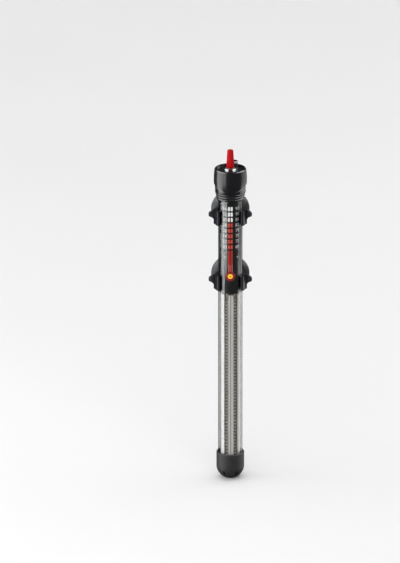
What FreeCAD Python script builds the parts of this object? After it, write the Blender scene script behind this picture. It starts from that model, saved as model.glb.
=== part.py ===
"""Submersible aquarium heater: glass tube, black head with a red setting knob, scale card with a
sliding red indicator, bimetal thermostat, grooved ceramic core with its heating coil, foot cap, and
two tube clips with suction cups.

Millimetres, +Z along the tube towards the head. The front, with the scale, faces -Y and the suction
cups face +Y. The origin is the centre of the small flat under the foot cap.
"""
import FreeCAD, Part
import math
import os
from types import SimpleNamespace

import Sketcher
from FreeCAD import Placement, Rotation, Vector

# Driving sizes, in millimetres unless the name says count, angle or turns

SIZES = {
    "tube_diameter": 24.0,
    "tube_wall": 1.4,
    "tube_length": 307.0,
    "push_fit": 0.1,
    "slide_gap": 0.3,
    "foot_wall": 1.7,
    "foot_height": 27.3,
    "foot_flat": 4.3,
    "foot_rim_round": 0.6,
    "vent_count": 6,
    "vent_width": 1.8,
    "vent_low": 4.6,
    "vent_high": 9.6,
    "head_grip": 15.8,
    "head_height": 31.4,
    "head_waist": 13.7,
    "head_flare": 15.2,
    "head_shoulder": 15.6,
    "head_swell": 70.0,
    "head_edge_round": 1.2,
    "head_rim_width": 1.5,
    "head_recess": 1.6,
    "head_ceiling": 3.6,
    "head_cavity_radius": 11.0,
    "ridge_count": 3,
    "ridge_pitch": 2.6,
    "ridge_half": 0.95,
    "ridge_round": 1.0,
    "smile_depth": 0.5,
    "smile_low": 10.4,
    "smile_radius": 26.0,
    "bung_flange": 2.5,
    "bung_depth": 16.0,
    "seal_wire": 0.9,
    "collar_wall": 1.5,
    "collar_height": 1.3,
    "knob_lift": 0.9,
    "knob_height": 17.9,
    "knob_base_radius": 4.1,
    "knob_top_radius": 3.0,
    "knob_top_round": 0.5,
    "knob_socket": 11.0,
    "flute_count": 10,
    "flute_radius": 0.6,
    "spindle_radius": 2.0,
    "spindle_fit": 0.05,
    "circlip_width": 1.0,
    "circlip_reach": 1.6,
    "screw_radius": 3.0,
    "screw_runout": 3.0,
    "groove_radius": 0.85,
    "journal_radius": 1.5,
    "journal_length": 8.0,
    "bush_height": 3.0,
    "cone_length": 3.0,
    "gland_x": 4.4,
    "gland_y": 9.0,
    "gland_radius": 2.9,
    "gland_bore": 2.4,
    "gland_height": 6.2,
    "gland_collar_reach": 0.5,
    "gland_collar_height": 1.2,
    "window_count": 8,
    "window_pitch": 5.65,
    "window_height": 4.3,
    "window_width": 2.0,
    "mullion": 0.7,
    "scale_drop": 21.75,
    "slot_gap": 1.5,
    "slot_width": 1.7,
    "lamp_drop": 28.4,
    "ring_radius": 4.9,
    "lens_radius": 2.45,
    "lens_rise": 0.5,
    "card_wall": 0.75,
    "card_gap": 0.25,
    "card_tail": 2.1,
    "card_half_angle": 115.0,
    "backing_wall": 0.6,
    "backing_half_angle": 24.0,
    "backing_lift": 5.0,
    "tongue_wall": 0.8,
    "tongue_half_angle": 25.0,
    "setting_rows_lit": 5,
    "tongue_spare": 16.0,
    "web_thickness": 0.6,
    "nut_radius": 4.6,
    "nut_height": 6.0,
    "nut_drop": 15.0,
    "shoe_width": 2.0,
    "board_front": 5.2,
    "board_thickness": 1.2,
    "board_half_width": 7.2,
    "board_tail": 16.1,
    "lug_half_width": 4.0,
    "lug_thickness": 1.2,
    "leaf_width": 4.0,
    "leaf_thickness": 0.3,
    "leaf_tail": 10.4,
    "leaf_over": 2.5,
    "blade_width": 5.0,
    "blade_thickness": 0.6,
    "blade_lift": 4.4,
    "blade_over": 10.5,
    "blade_standoff": 2.3,
    "contact_radius": 1.4,
    "contact_drop": 13.4,
    "contact_gap": 0.1,
    "magnet_length": 6.0,
    "lamp_radius": 2.4,
    "lamp_length": 11.0,
    "lamp_back": 4.9,
    "wire_radius": 0.25,
    "lead_radius": 0.7,
    "resistor_radius": 1.2,
    "resistor_length": 7.0,
    "capacitor_width": 4.4,
    "capacitor_height": 8.0,
    "tab_width": 3.0,
    "tab_thickness": 0.6,
    "tab_length": 8.0,
    "baffle_thickness": 1.0,
    "core_foot": 18.0,
    "core_gap": 4.0,
    "core_radius": 9.6,
    "core_bore": 1.7,
    "core_turn_angle": 4.0,
    "groove_count": 6,
    "groove_width": 5.0,
    "groove_centre": 7.5,
    "rod_radius": 1.4,
    "rod_head_radius": 3.0,
    "rod_head_height": 1.4,
    "nut_across_flats": 5.5,
    "nut_thickness": 2.2,
    "coil_wire_radius": 0.35,
    "coil_radius": 1.35,
    "coil_turns": 48,
    "coil_margin": 6.0,
    "upper_clip_drop": 18.75,
    "clip_spacing": 67.6,
    "clip_height": 14.7,
    "clip_wall": 3.0,
    "clip_open_angle": 57.0,
    "clip_plate_reach": 16.6,
    "clip_plate_half": 7.5,
    "clip_plate_wall": 1.6,
    "ear_reach": 21.4,
    "ear_thickness": 4.4,
    "ear_waist": 16.4,
    "cup_radius": 19.0,
    "cup_rim_plane": 24.0,
    "cup_land": 2.0,
    "cup_lip": 0.8,
    "cup_neck": 2.6,
    "cup_button": 4.1,
    "cup_button_height": 1.3,
    "cup_hub": 6.5,
    "cup_hub_height": 1.6,
    "cup_skin": 1.6,
}


class Size:
    """A length as the sheet's expression for it, together with its value."""

    def __init__(self, text, value):
        self.text = text
        self.value = value

    def __add__(self, other):
        other = as_size(other)
        return Size(f"({self.text} + {other.text})", self.value + other.value)

    def __sub__(self, other):
        other = as_size(other)
        return Size(f"({self.text} - {other.text})", self.value - other.value)

    def __mul__(self, other):
        other = as_size(other)
        return Size(f"({self.text} * {other.text})", self.value * other.value)

    def __truediv__(self, other):
        other = as_size(other)
        return Size(f"({self.text} / {other.text})", self.value / other.value)

    def __radd__(self, other):
        return as_size(other) + self

    def __rsub__(self, other):
        return as_size(other) - self

    def __rmul__(self, other):
        return as_size(other) * self

    def __neg__(self):
        return as_size(0.0) - self


def as_size(number):
    if isinstance(number, Size):
        return number
    return Size(f"({float(number)!r})", float(number))


def root(size):
    return Size(f"sqrt({size.text})", math.sqrt(size.value))


def sine(angle):
    return Size(f"sin({angle.text} * 1 deg)", math.sin(math.radians(angle.value)))


def cosine(angle):
    return Size(f"cos({angle.text} * 1 deg)", math.cos(math.radians(angle.value)))


def chord_height(radius, across):
    """How far along a circle's axis the point lies that is this far across from it."""
    return root(radius * radius - across * across)


doc = FreeCAD.newDocument("AquariumHeater")
sheet = doc.addObject("Spreadsheet::Sheet", "Sizes")
for row, (alias, number) in enumerate(SIZES.items(), 1):
    sheet.set(f"A{row}", alias)
    sheet.set(f"B{row}", str(number))
    sheet.setAlias(f"B{row}", alias)
doc.recompute()
d = SimpleNamespace(**{alias: Size(f"Sizes.{alias}", float(sheet.get(alias))) for alias in SIZES})


# Sketches and solids made from them

def datum(body, role):
    return next(feature for feature in body.Origin.OriginFeatures if feature.Role == role)


def attached_sketch(body, name, role, lift=None):
    """Empty sketch on one of the body's own planes, lifted off it along the plane's normal."""
    sketch = body.newObject("Sketcher::SketchObject", name)
    sketch.AttachmentSupport = [(datum(body, role), "")]
    sketch.MapMode = "FlatFace"
    if lift is not None:
        sketch.setExpression("AttachmentOffset.Base.z", lift.text)
    return sketch


def fix(sketch, kind, geometry, vertex, size):
    index = sketch.addConstraint(Sketcher.Constraint(kind, -1, 1, geometry, vertex, size.value))
    sketch.setExpression(f"Constraints[{index}]", size.text)


def outline(sketch, corners, arcs=None):
    """Closed outline with every corner fixed by its two sizes.

    An entry of arcs bends the side that starts at that corner: its radius, positive where the arc
    runs anticlockwise and negative where it runs clockwise.
    """
    arcs = arcs or {}
    corners = [(as_size(across), as_size(up)) for across, up in corners]
    first = sketch.GeometryCount
    ends = []
    for number, start in enumerate(corners):
        end = corners[(number + 1) % len(corners)]
        a = Vector(start[0].value, start[1].value, 0)
        b = Vector(end[0].value, end[1].value, 0)
        if number not in arcs:
            sketch.addGeometry(Part.LineSegment(a, b), False)
            ends.append((1, 2))
            continue
        radius, turn = arcs[number]
        chord = b - a
        normal = Vector(-chord.y, chord.x, 0).normalize() * turn
        centre = (a + b) * 0.5 + normal * math.sqrt(max(radius.value ** 2 - chord.Length ** 2 / 4, 0))
        low, high = (a, b) if turn > 0 else (b, a)
        angles = [math.atan2(point.y - centre.y, point.x - centre.x) for point in (low, high)]
        circle = Part.Circle(centre, Vector(0, 0, 1), radius.value)
        sketch.addGeometry(Part.ArcOfCircle(circle, angles[0], angles[1]), False)
        ends.append((1, 2) if turn > 0 else (2, 1))
    for number in range(len(corners)):
        after = (number + 1) % len(corners)
        joint = Sketcher.Constraint("Coincident", first + number, ends[number][1], first + after, ends[after][0])
        sketch.addConstraint(joint)
    for number, (across, up) in enumerate(corners):
        fix(sketch, "DistanceX", first + number, ends[number][0], across)
        fix(sketch, "DistanceY", first + number, ends[number][0], up)
    for number, (radius, _) in arcs.items():
        index = sketch.addConstraint(Sketcher.Constraint("Radius", first + number, radius.value))
        sketch.setExpression(f"Constraints[{index}]", radius.text)
    return sketch


def ring(sketch, radius, across=0.0, up=0.0):
    """Full circle about a fixed centre."""
    across, up = as_size(across), as_size(up)
    centre = Vector(across.value, up.value, 0)
    geometry = sketch.addGeometry(Part.Circle(centre, Vector(0, 0, 1), radius.value), False)
    fix(sketch, "DistanceX", geometry, 3, across)
    fix(sketch, "DistanceY", geometry, 3, up)
    index = sketch.addConstraint(Sketcher.Constraint("Radius", geometry, radius.value))
    sketch.setExpression(f"Constraints[{index}]", radius.text)
    return sketch


def rectangle(sketch, low, high):
    return outline(sketch, [(low[0], low[1]), (high[0], low[1]), (high[0], high[1]), (low[0], high[1])])


def sector_corners(inner, outer, half_angle):
    """Curved plate seen from above, centred on -Y and reaching half_angle to either side.

    It has a corner at -X and +X too where it reaches past them, so that no arc is over a half circle.
    """
    stops = [as_size(-1.0) * half_angle, as_size(0.0), half_angle]
    if half_angle.value > 90:
        stops = [stops[0], as_size(-90.0), as_size(0.0), as_size(90.0), stops[-1]]
    out = [(outer * sine(angle), -(outer * cosine(angle))) for angle in stops]
    back = [(inner * sine(angle), -(inner * cosine(angle))) for angle in reversed(stops)]
    arcs = {number: (outer, 1) for number in range(len(stops) - 1)}
    arcs.update({number + len(stops): (inner, -1) for number in range(len(stops) - 1)})
    return out + back, arcs


def new_body(label):
    return doc.addObject("PartDesign::Body", label)


def turned(label, corners, arcs=None):
    """Body of revolution about Z from an outline of radius against height."""
    body = new_body(label)
    profile = outline(attached_sketch(body, label + "_profile", "XZ_Plane"), corners, arcs)
    spin = body.newObject("PartDesign::Revolution", label + "_turning")
    spin.Profile = profile
    spin.ReferenceAxis = (profile, ["V_Axis"])
    spin.Angle = 360
    return body


def pad(body, name, sketch, length, both_sides=False, reverse=False):
    feature = body.newObject("PartDesign::Pad", name)
    feature.Profile = sketch
    feature.SideType = "Symmetric" if both_sides else "One side"
    feature.Reversed = reverse
    feature.setExpression("Length", length.text)
    return feature


def pocket(body, name, sketch, depth, both_sides=False, reverse=False):
    """Pocket whose depth runs against the sketch's normal, or along it when reversed."""
    feature = body.newObject("PartDesign::Pocket", name)
    feature.Profile = sketch
    feature.SideType = "Symmetric" if both_sides else "One side"
    feature.Reversed = reverse
    feature.setExpression("Length", depth.text)
    return feature


def around(body, name, feature, count):
    """The feature repeated evenly about the body's Z axis."""
    pattern = body.newObject("PartDesign::PolarPattern", name)
    pattern.Originals = [feature]
    pattern.Axis = (datum(body, "Z_Axis"), [""])
    pattern.Angle = 360
    pattern.setExpression("Occurrences", count.text)
    body.Tip = pattern
    return pattern


def upward(body, name, feature, pitch, count):
    """The feature repeated up the body's Z axis."""
    pattern = body.newObject("PartDesign::LinearPattern", name)
    pattern.Originals = [feature]
    pattern.Direction = (datum(body, "Z_Axis"), [""])
    pattern.setExpression("Length", (pitch * (count - 1)).text)
    pattern.setExpression("Occurrences", count.text)
    body.Tip = pattern
    return pattern


def place(item, x=None, y=None, z=None, rotation=None):
    """Puts a body or primitive at sizes along the axes, turned by a fixed rotation."""
    if rotation is not None:
        item.Placement = Placement(Vector(0, 0, 0), rotation)
    for axis, size in (("x", x), ("y", y), ("z", z)):
        if size is not None:
            item.setExpression(f"Placement.Base.{axis}", as_size(size).text)
    return item


def block(name, low, high):
    """Box primitive between two corners."""
    item = doc.addObject("Part::Box", name)
    low, high = [as_size(value) for value in low], [as_size(value) for value in high]
    for side, start, end in zip(("Length", "Width", "Height"), low, high):
        item.setExpression(side, (end - start).text)
    return place(item, *low)


def cylinder(name, radius, height, x=0.0, y=0.0, z=0.0, rotation=None):
    item = doc.addObject("Part::Cylinder", name)
    item.setExpression("Radius", as_size(radius).text)
    item.setExpression("Height", as_size(height).text)
    return place(item, x, y, z, rotation)


def joined(label, items):
    whole = doc.addObject("Part::MultiFuse", label)
    whole.Shapes = items
    return whole


def cut(label, base, tool):
    rest = doc.addObject("Part::Cut", label)
    rest.Base = base
    rest.Tool = tool
    return rest


def common(label, items):
    shared = doc.addObject("Part::MultiCommon", label)
    shared.Shapes = items
    return shared


# Wires and coils: smooth paths of straight runs and tangent arcs

def arc_edge(start, corner, end):
    """Arc from start to end that is tangent to the lines through their common corner."""
    chord = end - start
    middle = (start + end) * 0.5
    lean = corner - middle
    if lean.Length < 1e-7:
        return Part.LineSegment(start, end).toShape()
    turn = (corner - start).getAngle(end - corner)
    top = middle + lean.normalize() * (chord.Length / 2 * math.tan(turn / 4))
    return Part.Arc(start, top, end).toShape()


def biarc(start, start_way, end, end_way):
    """Two arcs that leave start along its direction and reach end along its own."""
    span = end - start
    ways = start_way + end_way
    bend = 2 * (1 - start_way.dot(end_way))
    along = span.dot(ways)
    if bend < 1e-9:
        reach = span.Length / 4
    else:
        reach = (math.sqrt(along ** 2 + bend * span.dot(span)) - along) / bend
    first, second = start + start_way * reach, end - end_way * reach
    middle = (first + second) * 0.5
    return [arc_edge(start, first, middle), arc_edge(middle, second, end)]


def rounded_route(points, radius):
    """Straight runs with a tangent arc of the radius, or as much as the runs allow, at each corner."""
    edges = []
    here = points[0]
    for before, corner, after in zip(points, points[1:], points[2:]):
        inward = (before - corner).normalize()
        outward = (after - corner).normalize()
        turn = math.pi - inward.getAngle(outward)
        shorter = min((before - corner).Length, (after - corner).Length)
        reach = min(radius * math.tan(turn / 2), 0.45 * shorter)
        start, end = corner + inward * reach, corner + outward * reach
        edges.append(Part.LineSegment(here, start).toShape())
        edges.append(arc_edge(start, corner, end))
        here = end
    edges.append(Part.LineSegment(here, points[-1]).toShape())
    return edges


def helix_stops(centre, radius, low, rise, turns, parts):
    """Points and directions of a helix at an even number of parts of each turn.

    It climbs anticlockwise from +X, or falls if its rise is negative.
    """
    stops = []
    slope = rise / turns / (2 * math.pi * radius)
    for number in range(turns * parts + 1):
        angle = 2 * math.pi * number / parts
        spot = Vector(centre.x + radius * math.cos(angle), centre.y + radius * math.sin(angle),
                      low + rise * number / (turns * parts))
        way = Vector(-math.sin(angle), math.cos(angle), slope).normalize()
        stops.append((spot, way))
    return stops


def through(stops):
    edges = []
    for (start, start_way), (end, end_way) in zip(stops, stops[1:]):
        edges += biarc(start, start_way, end, end_way)
    return edges


def tube_along(edges, radius):
    """Round solid that follows the path, checked against its section times its length."""
    path = Part.Wire(edges)
    begin = edges[0].valueAt(edges[0].FirstParameter)
    way = edges[0].tangentAt(edges[0].FirstParameter)
    section = Part.Wire([Part.Circle(begin, way, radius).toShape()])
    solid = path.makePipeShell([section], True, False)
    expected = math.pi * radius ** 2 * path.Length
    if abs(solid.Volume - expected) > 0.03 * expected:
        raise ValueError(f"a wire's volume {solid.Volume:.2f} is off {expected:.2f}")
    return solid


def computed(label, shape):
    item = doc.addObject("Part::Feature", label)
    item.Shape = shape
    item.Placement = Placement()
    return item


# Heights and radii that several pieces share

tube_radius = d.tube_diameter / 2
tube_bore = tube_radius - d.tube_wall
cap_bore = tube_radius + d.push_fit
foot_radius = cap_bore + d.foot_wall
dome_centre = chord_height(foot_radius, d.foot_flat)
tube_top = dome_centre - tube_radius + d.tube_length
skirt = tube_top - d.head_grip
bung_top = tube_top + d.bung_flange
bung_foot = tube_top - d.bung_depth
head_top = skirt + d.head_height
floor = head_top - d.head_recess
cavity_top = floor - d.head_ceiling
collar_top = floor + d.collar_height
knob_base = collar_top + d.knob_lift
card_top = bung_foot - d.push_fit
card_outer = tube_bore - d.card_gap
card_inner = card_outer - d.card_wall
tongue_outer = card_inner - d.slide_gap
tongue_inner = tongue_outer - d.tongue_wall
backing_outer = tongue_inner - d.slide_gap
backing_inner = backing_outer - d.backing_wall
row_gap = d.window_pitch - d.window_height
travel_up = d.window_pitch * (d.window_count - d.setting_rows_lit)
travel_down = d.window_pitch * (d.setting_rows_lit - 1)
window_foot = tube_top - d.scale_drop - d.window_pitch * (d.window_count - 1) - d.window_height
lamp_height = window_foot - d.lamp_drop
tongue_top = window_foot + d.window_pitch * d.setting_rows_lit - row_gap / 2
tongue_foot = window_foot - row_gap / 2 - d.tongue_spare
nut_middle = tongue_top - d.nut_drop
lead_pitch = d.window_pitch * 2
screw_foot = nut_middle - travel_down - d.screw_runout - d.nut_height / 2
screw_top = nut_middle + travel_up + d.screw_runout + d.nut_height / 2
board_back = d.board_front + d.board_thickness
collar_bore = d.knob_base_radius + d.slide_gap
collar_radius = collar_bore + d.collar_wall
slot_top = window_foot - d.slot_gap
board_foot = lamp_height - d.board_tail
card_foot = board_foot - d.card_tail
core_top = board_foot - d.core_gap
contact_level = card_top - d.contact_drop
leaf_foot = nut_middle - travel_down - d.nut_height / 2 - d.leaf_tail
blade_foot = board_foot + d.blade_lift
blade_tip = contact_level + d.blade_over
upper_clip_height = skirt - d.upper_clip_drop
lower_clip_height = upper_clip_height - d.clip_spacing
baffle_foot = (core_top + board_foot - d.baffle_thickness) / 2
baffle_top = baffle_foot + d.baffle_thickness
backing_foot = baffle_top + d.backing_lift
backing_top = card_top - d.card_wall


# Glass tube and foot cap

def glass_tube():
    foot = dome_centre - tube_radius
    turned("glass_tube",
           [(0, foot), (tube_radius, dome_centre), (tube_radius, tube_top), (tube_bore, tube_top),
            (tube_bore, dome_centre), (0, foot + d.tube_wall)],
           {0: (tube_radius, 1), 4: (tube_bore, -1)})


def foot_cap():
    rim = d.foot_height - d.foot_rim_round
    body = turned("foot_cap",
                  [(0, 0), (d.foot_flat, 0), (foot_radius, dome_centre), (foot_radius, rim),
                   (foot_radius - d.foot_rim_round, d.foot_height), (cap_bore, d.foot_height),
                   (cap_bore, dome_centre), (0, dome_centre - cap_bore)],
                  {1: (foot_radius, 1), 3: (d.foot_rim_round, 1), 6: (cap_bore, -1)})
    half = d.vent_width / 2
    vent = attached_sketch(body, "vent_outline", "XZ_Plane")
    outline(vent,
            [(-half, d.vent_low + half), (0, d.vent_low), (half, d.vent_low + half),
             (half, d.vent_high - half), (0, d.vent_high), (-half, d.vent_high - half)],
            {0: (half, 1), 1: (half, 1), 3: (half, 1), 4: (half, 1)})
    slit = pocket(body, "vent", vent, foot_radius + d.foot_wall)
    around(body, "vents", slit, d.vent_count)
    # turned by half a pitch, so that two vents face forwards
    place(body, rotation=Rotation(Vector(0, 0, 1), 180 / d.vent_count.value))


# Head: cover, bung, seal, gland and collar

def head_outline():
    """Cover profile from the skirt's mouth up its ridges and barrel, over the rim and back inside."""
    corners = [(d.head_waist - d.ridge_half, skirt)]
    arcs = {}
    step = (d.head_flare - d.head_waist) / d.ridge_count
    for ridge in range(int(d.ridge_count.value)):
        face = d.head_waist + step * ridge - d.ridge_half * 0.6
        middle = skirt + d.ridge_pitch * (ridge + 0.5)
        arcs[len(corners)] = (d.ridge_round, 1)
        corners += [(face, middle - d.ridge_half), (face, middle + d.ridge_half)]
    barrel = skirt + d.ridge_pitch * d.ridge_count
    arcs[len(corners)] = (d.head_swell, 1)
    arcs[len(corners) + 1] = (d.head_edge_round, 1)
    rim_bore = d.head_shoulder - d.head_edge_round - d.head_rim_width + d.head_edge_round / 2
    corners += [(d.head_flare, barrel), (d.head_shoulder, head_top - d.head_edge_round),
                (d.head_shoulder - d.head_edge_round, head_top), (rim_bore, head_top), (rim_bore, floor)]
    hole = d.spindle_radius + d.slide_gap
    seat = d.spindle_radius + d.seal_wire * 2 + d.push_fit
    seat_top = cavity_top + d.seal_wire * 2
    corners += [(hole, floor), (hole, seat_top), (seat, seat_top), (seat, cavity_top),
                (d.head_cavity_radius, cavity_top), (d.head_cavity_radius, bung_top + d.push_fit),
                (cap_bore, bung_top + d.push_fit), (cap_bore, skirt)]
    return corners, arcs


def head_cover():
    corners, arcs = head_outline()
    barrel = turned("head_barrel", corners, arcs)
    entry = attached_sketch(barrel, "gland_hole_outline", "XY_Plane", cavity_top - d.push_fit)
    ring(entry, d.gland_radius, d.gland_x, d.gland_y)
    pocket(barrel, "gland_hole", entry, d.head_ceiling + d.head_recess, reverse=True)
    # the lower front and back of the barrel stand back by a small step under a smiling line
    low = skirt + d.ridge_pitch * d.ridge_count
    high = skirt + d.smile_low + d.head_grip / 2
    swell = d.head_shoulder - d.head_flare
    outer = d.head_shoulder + d.head_grip
    step = turned("smile_ring",
                  [(d.head_flare - d.smile_depth, low), (outer, low), (outer, high),
                   (d.head_flare - d.smile_depth + swell, high)],
                  {3: (d.head_swell * 0.55, -1)})
    smile = cylinder("smile_line", d.smile_radius, outer * 2, 0, outer,
                     skirt + d.smile_low + d.smile_radius, Rotation(Vector(1, 0, 0), 90))
    below = cut("smile_step", step, smile)
    cut("head_cover", barrel, below)


def head_bung():
    """Rubber plug in the tube's mouth, with its flange on the glass and bores for spindle and leads."""
    bore = d.spindle_radius + d.slide_gap
    plug = tube_bore - d.push_fit
    body = turned("head_bung",
                  [(bore, bung_foot), (plug - d.ridge_half, bung_foot), (plug, bung_foot + d.ridge_half),
                   (plug, tube_top), (tube_radius, tube_top), (tube_radius, bung_top), (bore, bung_top)])
    holes = attached_sketch(body, "lead_holes_outline", "XY_Plane", bung_foot - d.push_fit)
    for side in (-1, 1):
        ring(holes, d.lead_radius + d.push_fit, lead_x * side, lead_y)
    pocket(body, "lead_holes", holes, d.bung_depth + d.bung_flange + d.push_fit * 2, reverse=True)


def spindle_seal():
    seal = doc.addObject("Part::Torus", "spindle_seal")
    seal.setExpression("Radius1", (d.spindle_radius + d.spindle_fit + d.seal_wire).text)
    seal.setExpression("Radius2", (d.seal_wire - d.spindle_fit / 2).text)
    place(seal, z=cavity_top + d.seal_wire)


def knob_collar():
    edge = d.collar_wall / 3
    turned("knob_collar",
           [(collar_bore, floor), (collar_radius, floor), (collar_radius, collar_top - edge),
            (collar_radius - edge, collar_top), (collar_bore, collar_top)],
           {2: (edge, 1)})


def cable_gland():
    """Sleeve for the mains lead, through the cover's ceiling with a small collar on its outside."""
    foot = cavity_top
    collar = d.gland_radius + d.gland_collar_reach
    top = d.gland_radius - d.gland_collar_reach / 2
    edge = d.gland_collar_reach / 2
    body = turned("cable_gland",
                  [(d.gland_bore, 0), (d.gland_radius - d.push_fit / 2, 0),
                   (d.gland_radius - d.push_fit / 2, floor - foot), (collar, floor - foot),
                   (collar, floor - foot + d.gland_collar_height),
                   (d.gland_radius, floor - foot + d.gland_collar_height),
                   (top + edge / 2, floor - foot + d.gland_height - edge),
                   (top, floor - foot + d.gland_height), (d.gland_bore, floor - foot + d.gland_height)])
    place(body, d.gland_x, d.gland_y, foot)


# Knob and spindle

def adjusting_knob():
    body = turned("adjusting_knob",
                  [(d.spindle_radius, 0), (d.knob_base_radius, 0),
                   (d.knob_top_radius, d.knob_height - d.knob_top_round),
                   (d.knob_top_radius - d.knob_top_round, d.knob_height), (0, d.knob_height),
                   (0, d.knob_socket), (d.spindle_radius, d.knob_socket)],
                  {2: (d.knob_top_round, 1)})
    doc.recompute()
    lean = math.degrees(math.atan((d.knob_base_radius.value - d.knob_top_radius.value) / d.knob_height.value))
    flute = body.newObject("PartDesign::SubtractiveCylinder", "flute")
    flute.setExpression("Radius", d.flute_radius.text)
    flute.setExpression("Height", (d.knob_height * 1.2).text)
    flute.AttachmentSupport = [(datum(body, "XY_Plane"), "")]
    flute.MapMode = "FlatFace"
    flute.AttachmentOffset = Placement(Vector(0, 0, 0), Rotation(Vector(0, 1, 0), -lean))
    flute.setExpression("AttachmentOffset.Base.x", (d.knob_base_radius + d.flute_radius * 0.45).text)
    flute.setExpression("AttachmentOffset.Base.z", (-(d.knob_height * 0.02)).text)
    around(body, "flutes", flute, d.flute_count)
    place(body, z=knob_base)


def spindle():
    """Setting spindle: a plain shaft through the seal, a coarse round-bottomed thread that carries the
    indicator's nut, a journal in the board's lug and a cone at the foot."""
    top = knob_base + d.knob_socket
    shaft = d.spindle_radius
    bottom = screw_foot - d.journal_length
    core = turned("spindle_blank",
                  [(0, bottom - d.cone_length), (d.journal_radius, bottom),
                   (d.journal_radius, screw_foot), (d.screw_radius, screw_foot),
                   (d.screw_radius, screw_top), (shaft, screw_top + (d.screw_radius - shaft)),
                   (shaft, top), (0, top)])
    turns = math.ceil((screw_top.value - screw_foot.value) / lead_pitch.value / 2 + 0.5) * 2
    low = nut_middle.value - lead_pitch.value * turns / 2
    stops = helix_stops(Vector(0, 0, 0), d.screw_radius.value, low, lead_pitch.value * turns, turns, 4)
    groove = computed("thread_groove", tube_along(through(stops), d.groove_radius.value))
    cut("spindle", core, groove)


def spindle_circlip():
    """Spring clip under the cover's ceiling that keeps the spindle from being drawn out."""
    body = new_body("spindle_circlip")
    sketch = attached_sketch(body, "circlip_outline", "XY_Plane", bung_top + d.push_fit * 3)
    ring(sketch, d.spindle_radius + d.spindle_fit)
    ring(sketch, d.spindle_radius + d.circlip_reach)
    pad(body, "circlip_ring", sketch, d.circlip_width)
    gap = attached_sketch(body, "circlip_gap_outline", "XY_Plane", bung_top)
    rectangle(gap, (-(d.circlip_width), 0), (d.circlip_width, d.spindle_radius + d.circlip_reach * 2))
    pocket(body, "circlip_gap", gap, d.circlip_width * 3, reverse=True)


# Scale: card with its windows, white backing, red indicator, pilot lamp

def scale_card():
    body = new_body("scale_card")
    corners, arcs = sector_corners(card_inner, card_outer, d.card_half_angle)
    pad(body, "card_shell", outline(attached_sketch(body, "card_outline", "XY_Plane", card_foot), corners, arcs),
        card_top - card_foot)
    half = d.mullion / 2
    doc.recompute()
    panes = attached_sketch(body, "window_outline", "XZ_Plane")
    for side in (-1, 1):
        rectangle(panes, ((half + (d.window_width if side < 0 else 0)) * side, window_foot),
                  ((half + (0 if side < 0 else d.window_width)) * side, window_foot + d.window_height))
    windows = pocket(body, "window_pair", panes, card_outer * 1.1, reverse=True)
    upward(body, "windows", windows, d.window_pitch, d.window_count)
    slots = attached_sketch(body, "slot_outline", "XZ_Plane")
    foot = lamp_height + d.ring_radius / 2
    for side in (-1, 1):
        rectangle(slots, ((half + (d.slot_width if side < 0 else 0)) * side, foot),
                  ((half + (0 if side < 0 else d.slot_width)) * side, slot_top))
    pocket(body, "long_slots", slots, card_outer * 1.1, reverse=True)
    eye = ring(attached_sketch(body, "lamp_eye_outline", "XZ_Plane"), d.ring_radius, 0, lamp_height)
    pocket(body, "lamp_eye", eye, card_outer * 1.1, reverse=True)


def white_backing():
    """White strip behind the windows, slotted for the indicator's web, with a thicker end at the top
    and at the bottom that keeps it off the card."""
    body = new_body("white_backing")
    corners, arcs = sector_corners(backing_inner, backing_outer, d.backing_half_angle)
    strip = outline(attached_sketch(body, "backing_outline", "XY_Plane", backing_foot), corners, arcs)
    pad(body, "backing_strip", strip, backing_top - backing_foot)
    spacer = d.card_wall * 2
    corners, arcs = sector_corners(backing_inner, card_inner - d.push_fit, d.backing_half_angle)
    for name, low in (("lower", backing_foot), ("upper", backing_top - spacer)):
        sketch = outline(attached_sketch(body, name + "_spacer_outline", "XY_Plane", low), corners, arcs)
        pad(body, name + "_spacer", sketch, spacer)
    half = d.web_thickness / 2 + d.slide_gap
    slit = attached_sketch(body, "web_slit_outline", "XZ_Plane")
    reach = d.nut_height / 2 + d.slide_gap
    rectangle(slit, (-half, nut_middle - travel_down - reach), (half, nut_middle + travel_up + reach))
    pocket(body, "web_slit", slit, card_outer, reverse=True)
    eye = ring(attached_sketch(body, "glow_hole_outline", "XZ_Plane"), d.lens_radius + d.slide_gap, 0, lamp_height)
    pocket(body, "glow_hole", eye, card_outer, reverse=True)


def indicator_tongue():
    """Red curved tongue behind the windows, with the web that joins it to the nut."""
    body = new_body("indicator_tongue")
    corners, arcs = sector_corners(tongue_inner, tongue_outer, d.tongue_half_angle)
    pad(body, "tongue", outline(attached_sketch(body, "tongue_outline", "XY_Plane", tongue_foot), corners, arcs),
        tongue_top - tongue_foot)
    half = d.web_thickness / 2
    web = attached_sketch(body, "web_outline", "XY_Plane", nut_middle - d.nut_height / 2)
    rectangle(web, (-half, -(tongue_inner + d.tongue_wall / 2)), (half, -(d.nut_radius + d.web_thickness)))
    pad(body, "web", web, d.nut_height)


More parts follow.
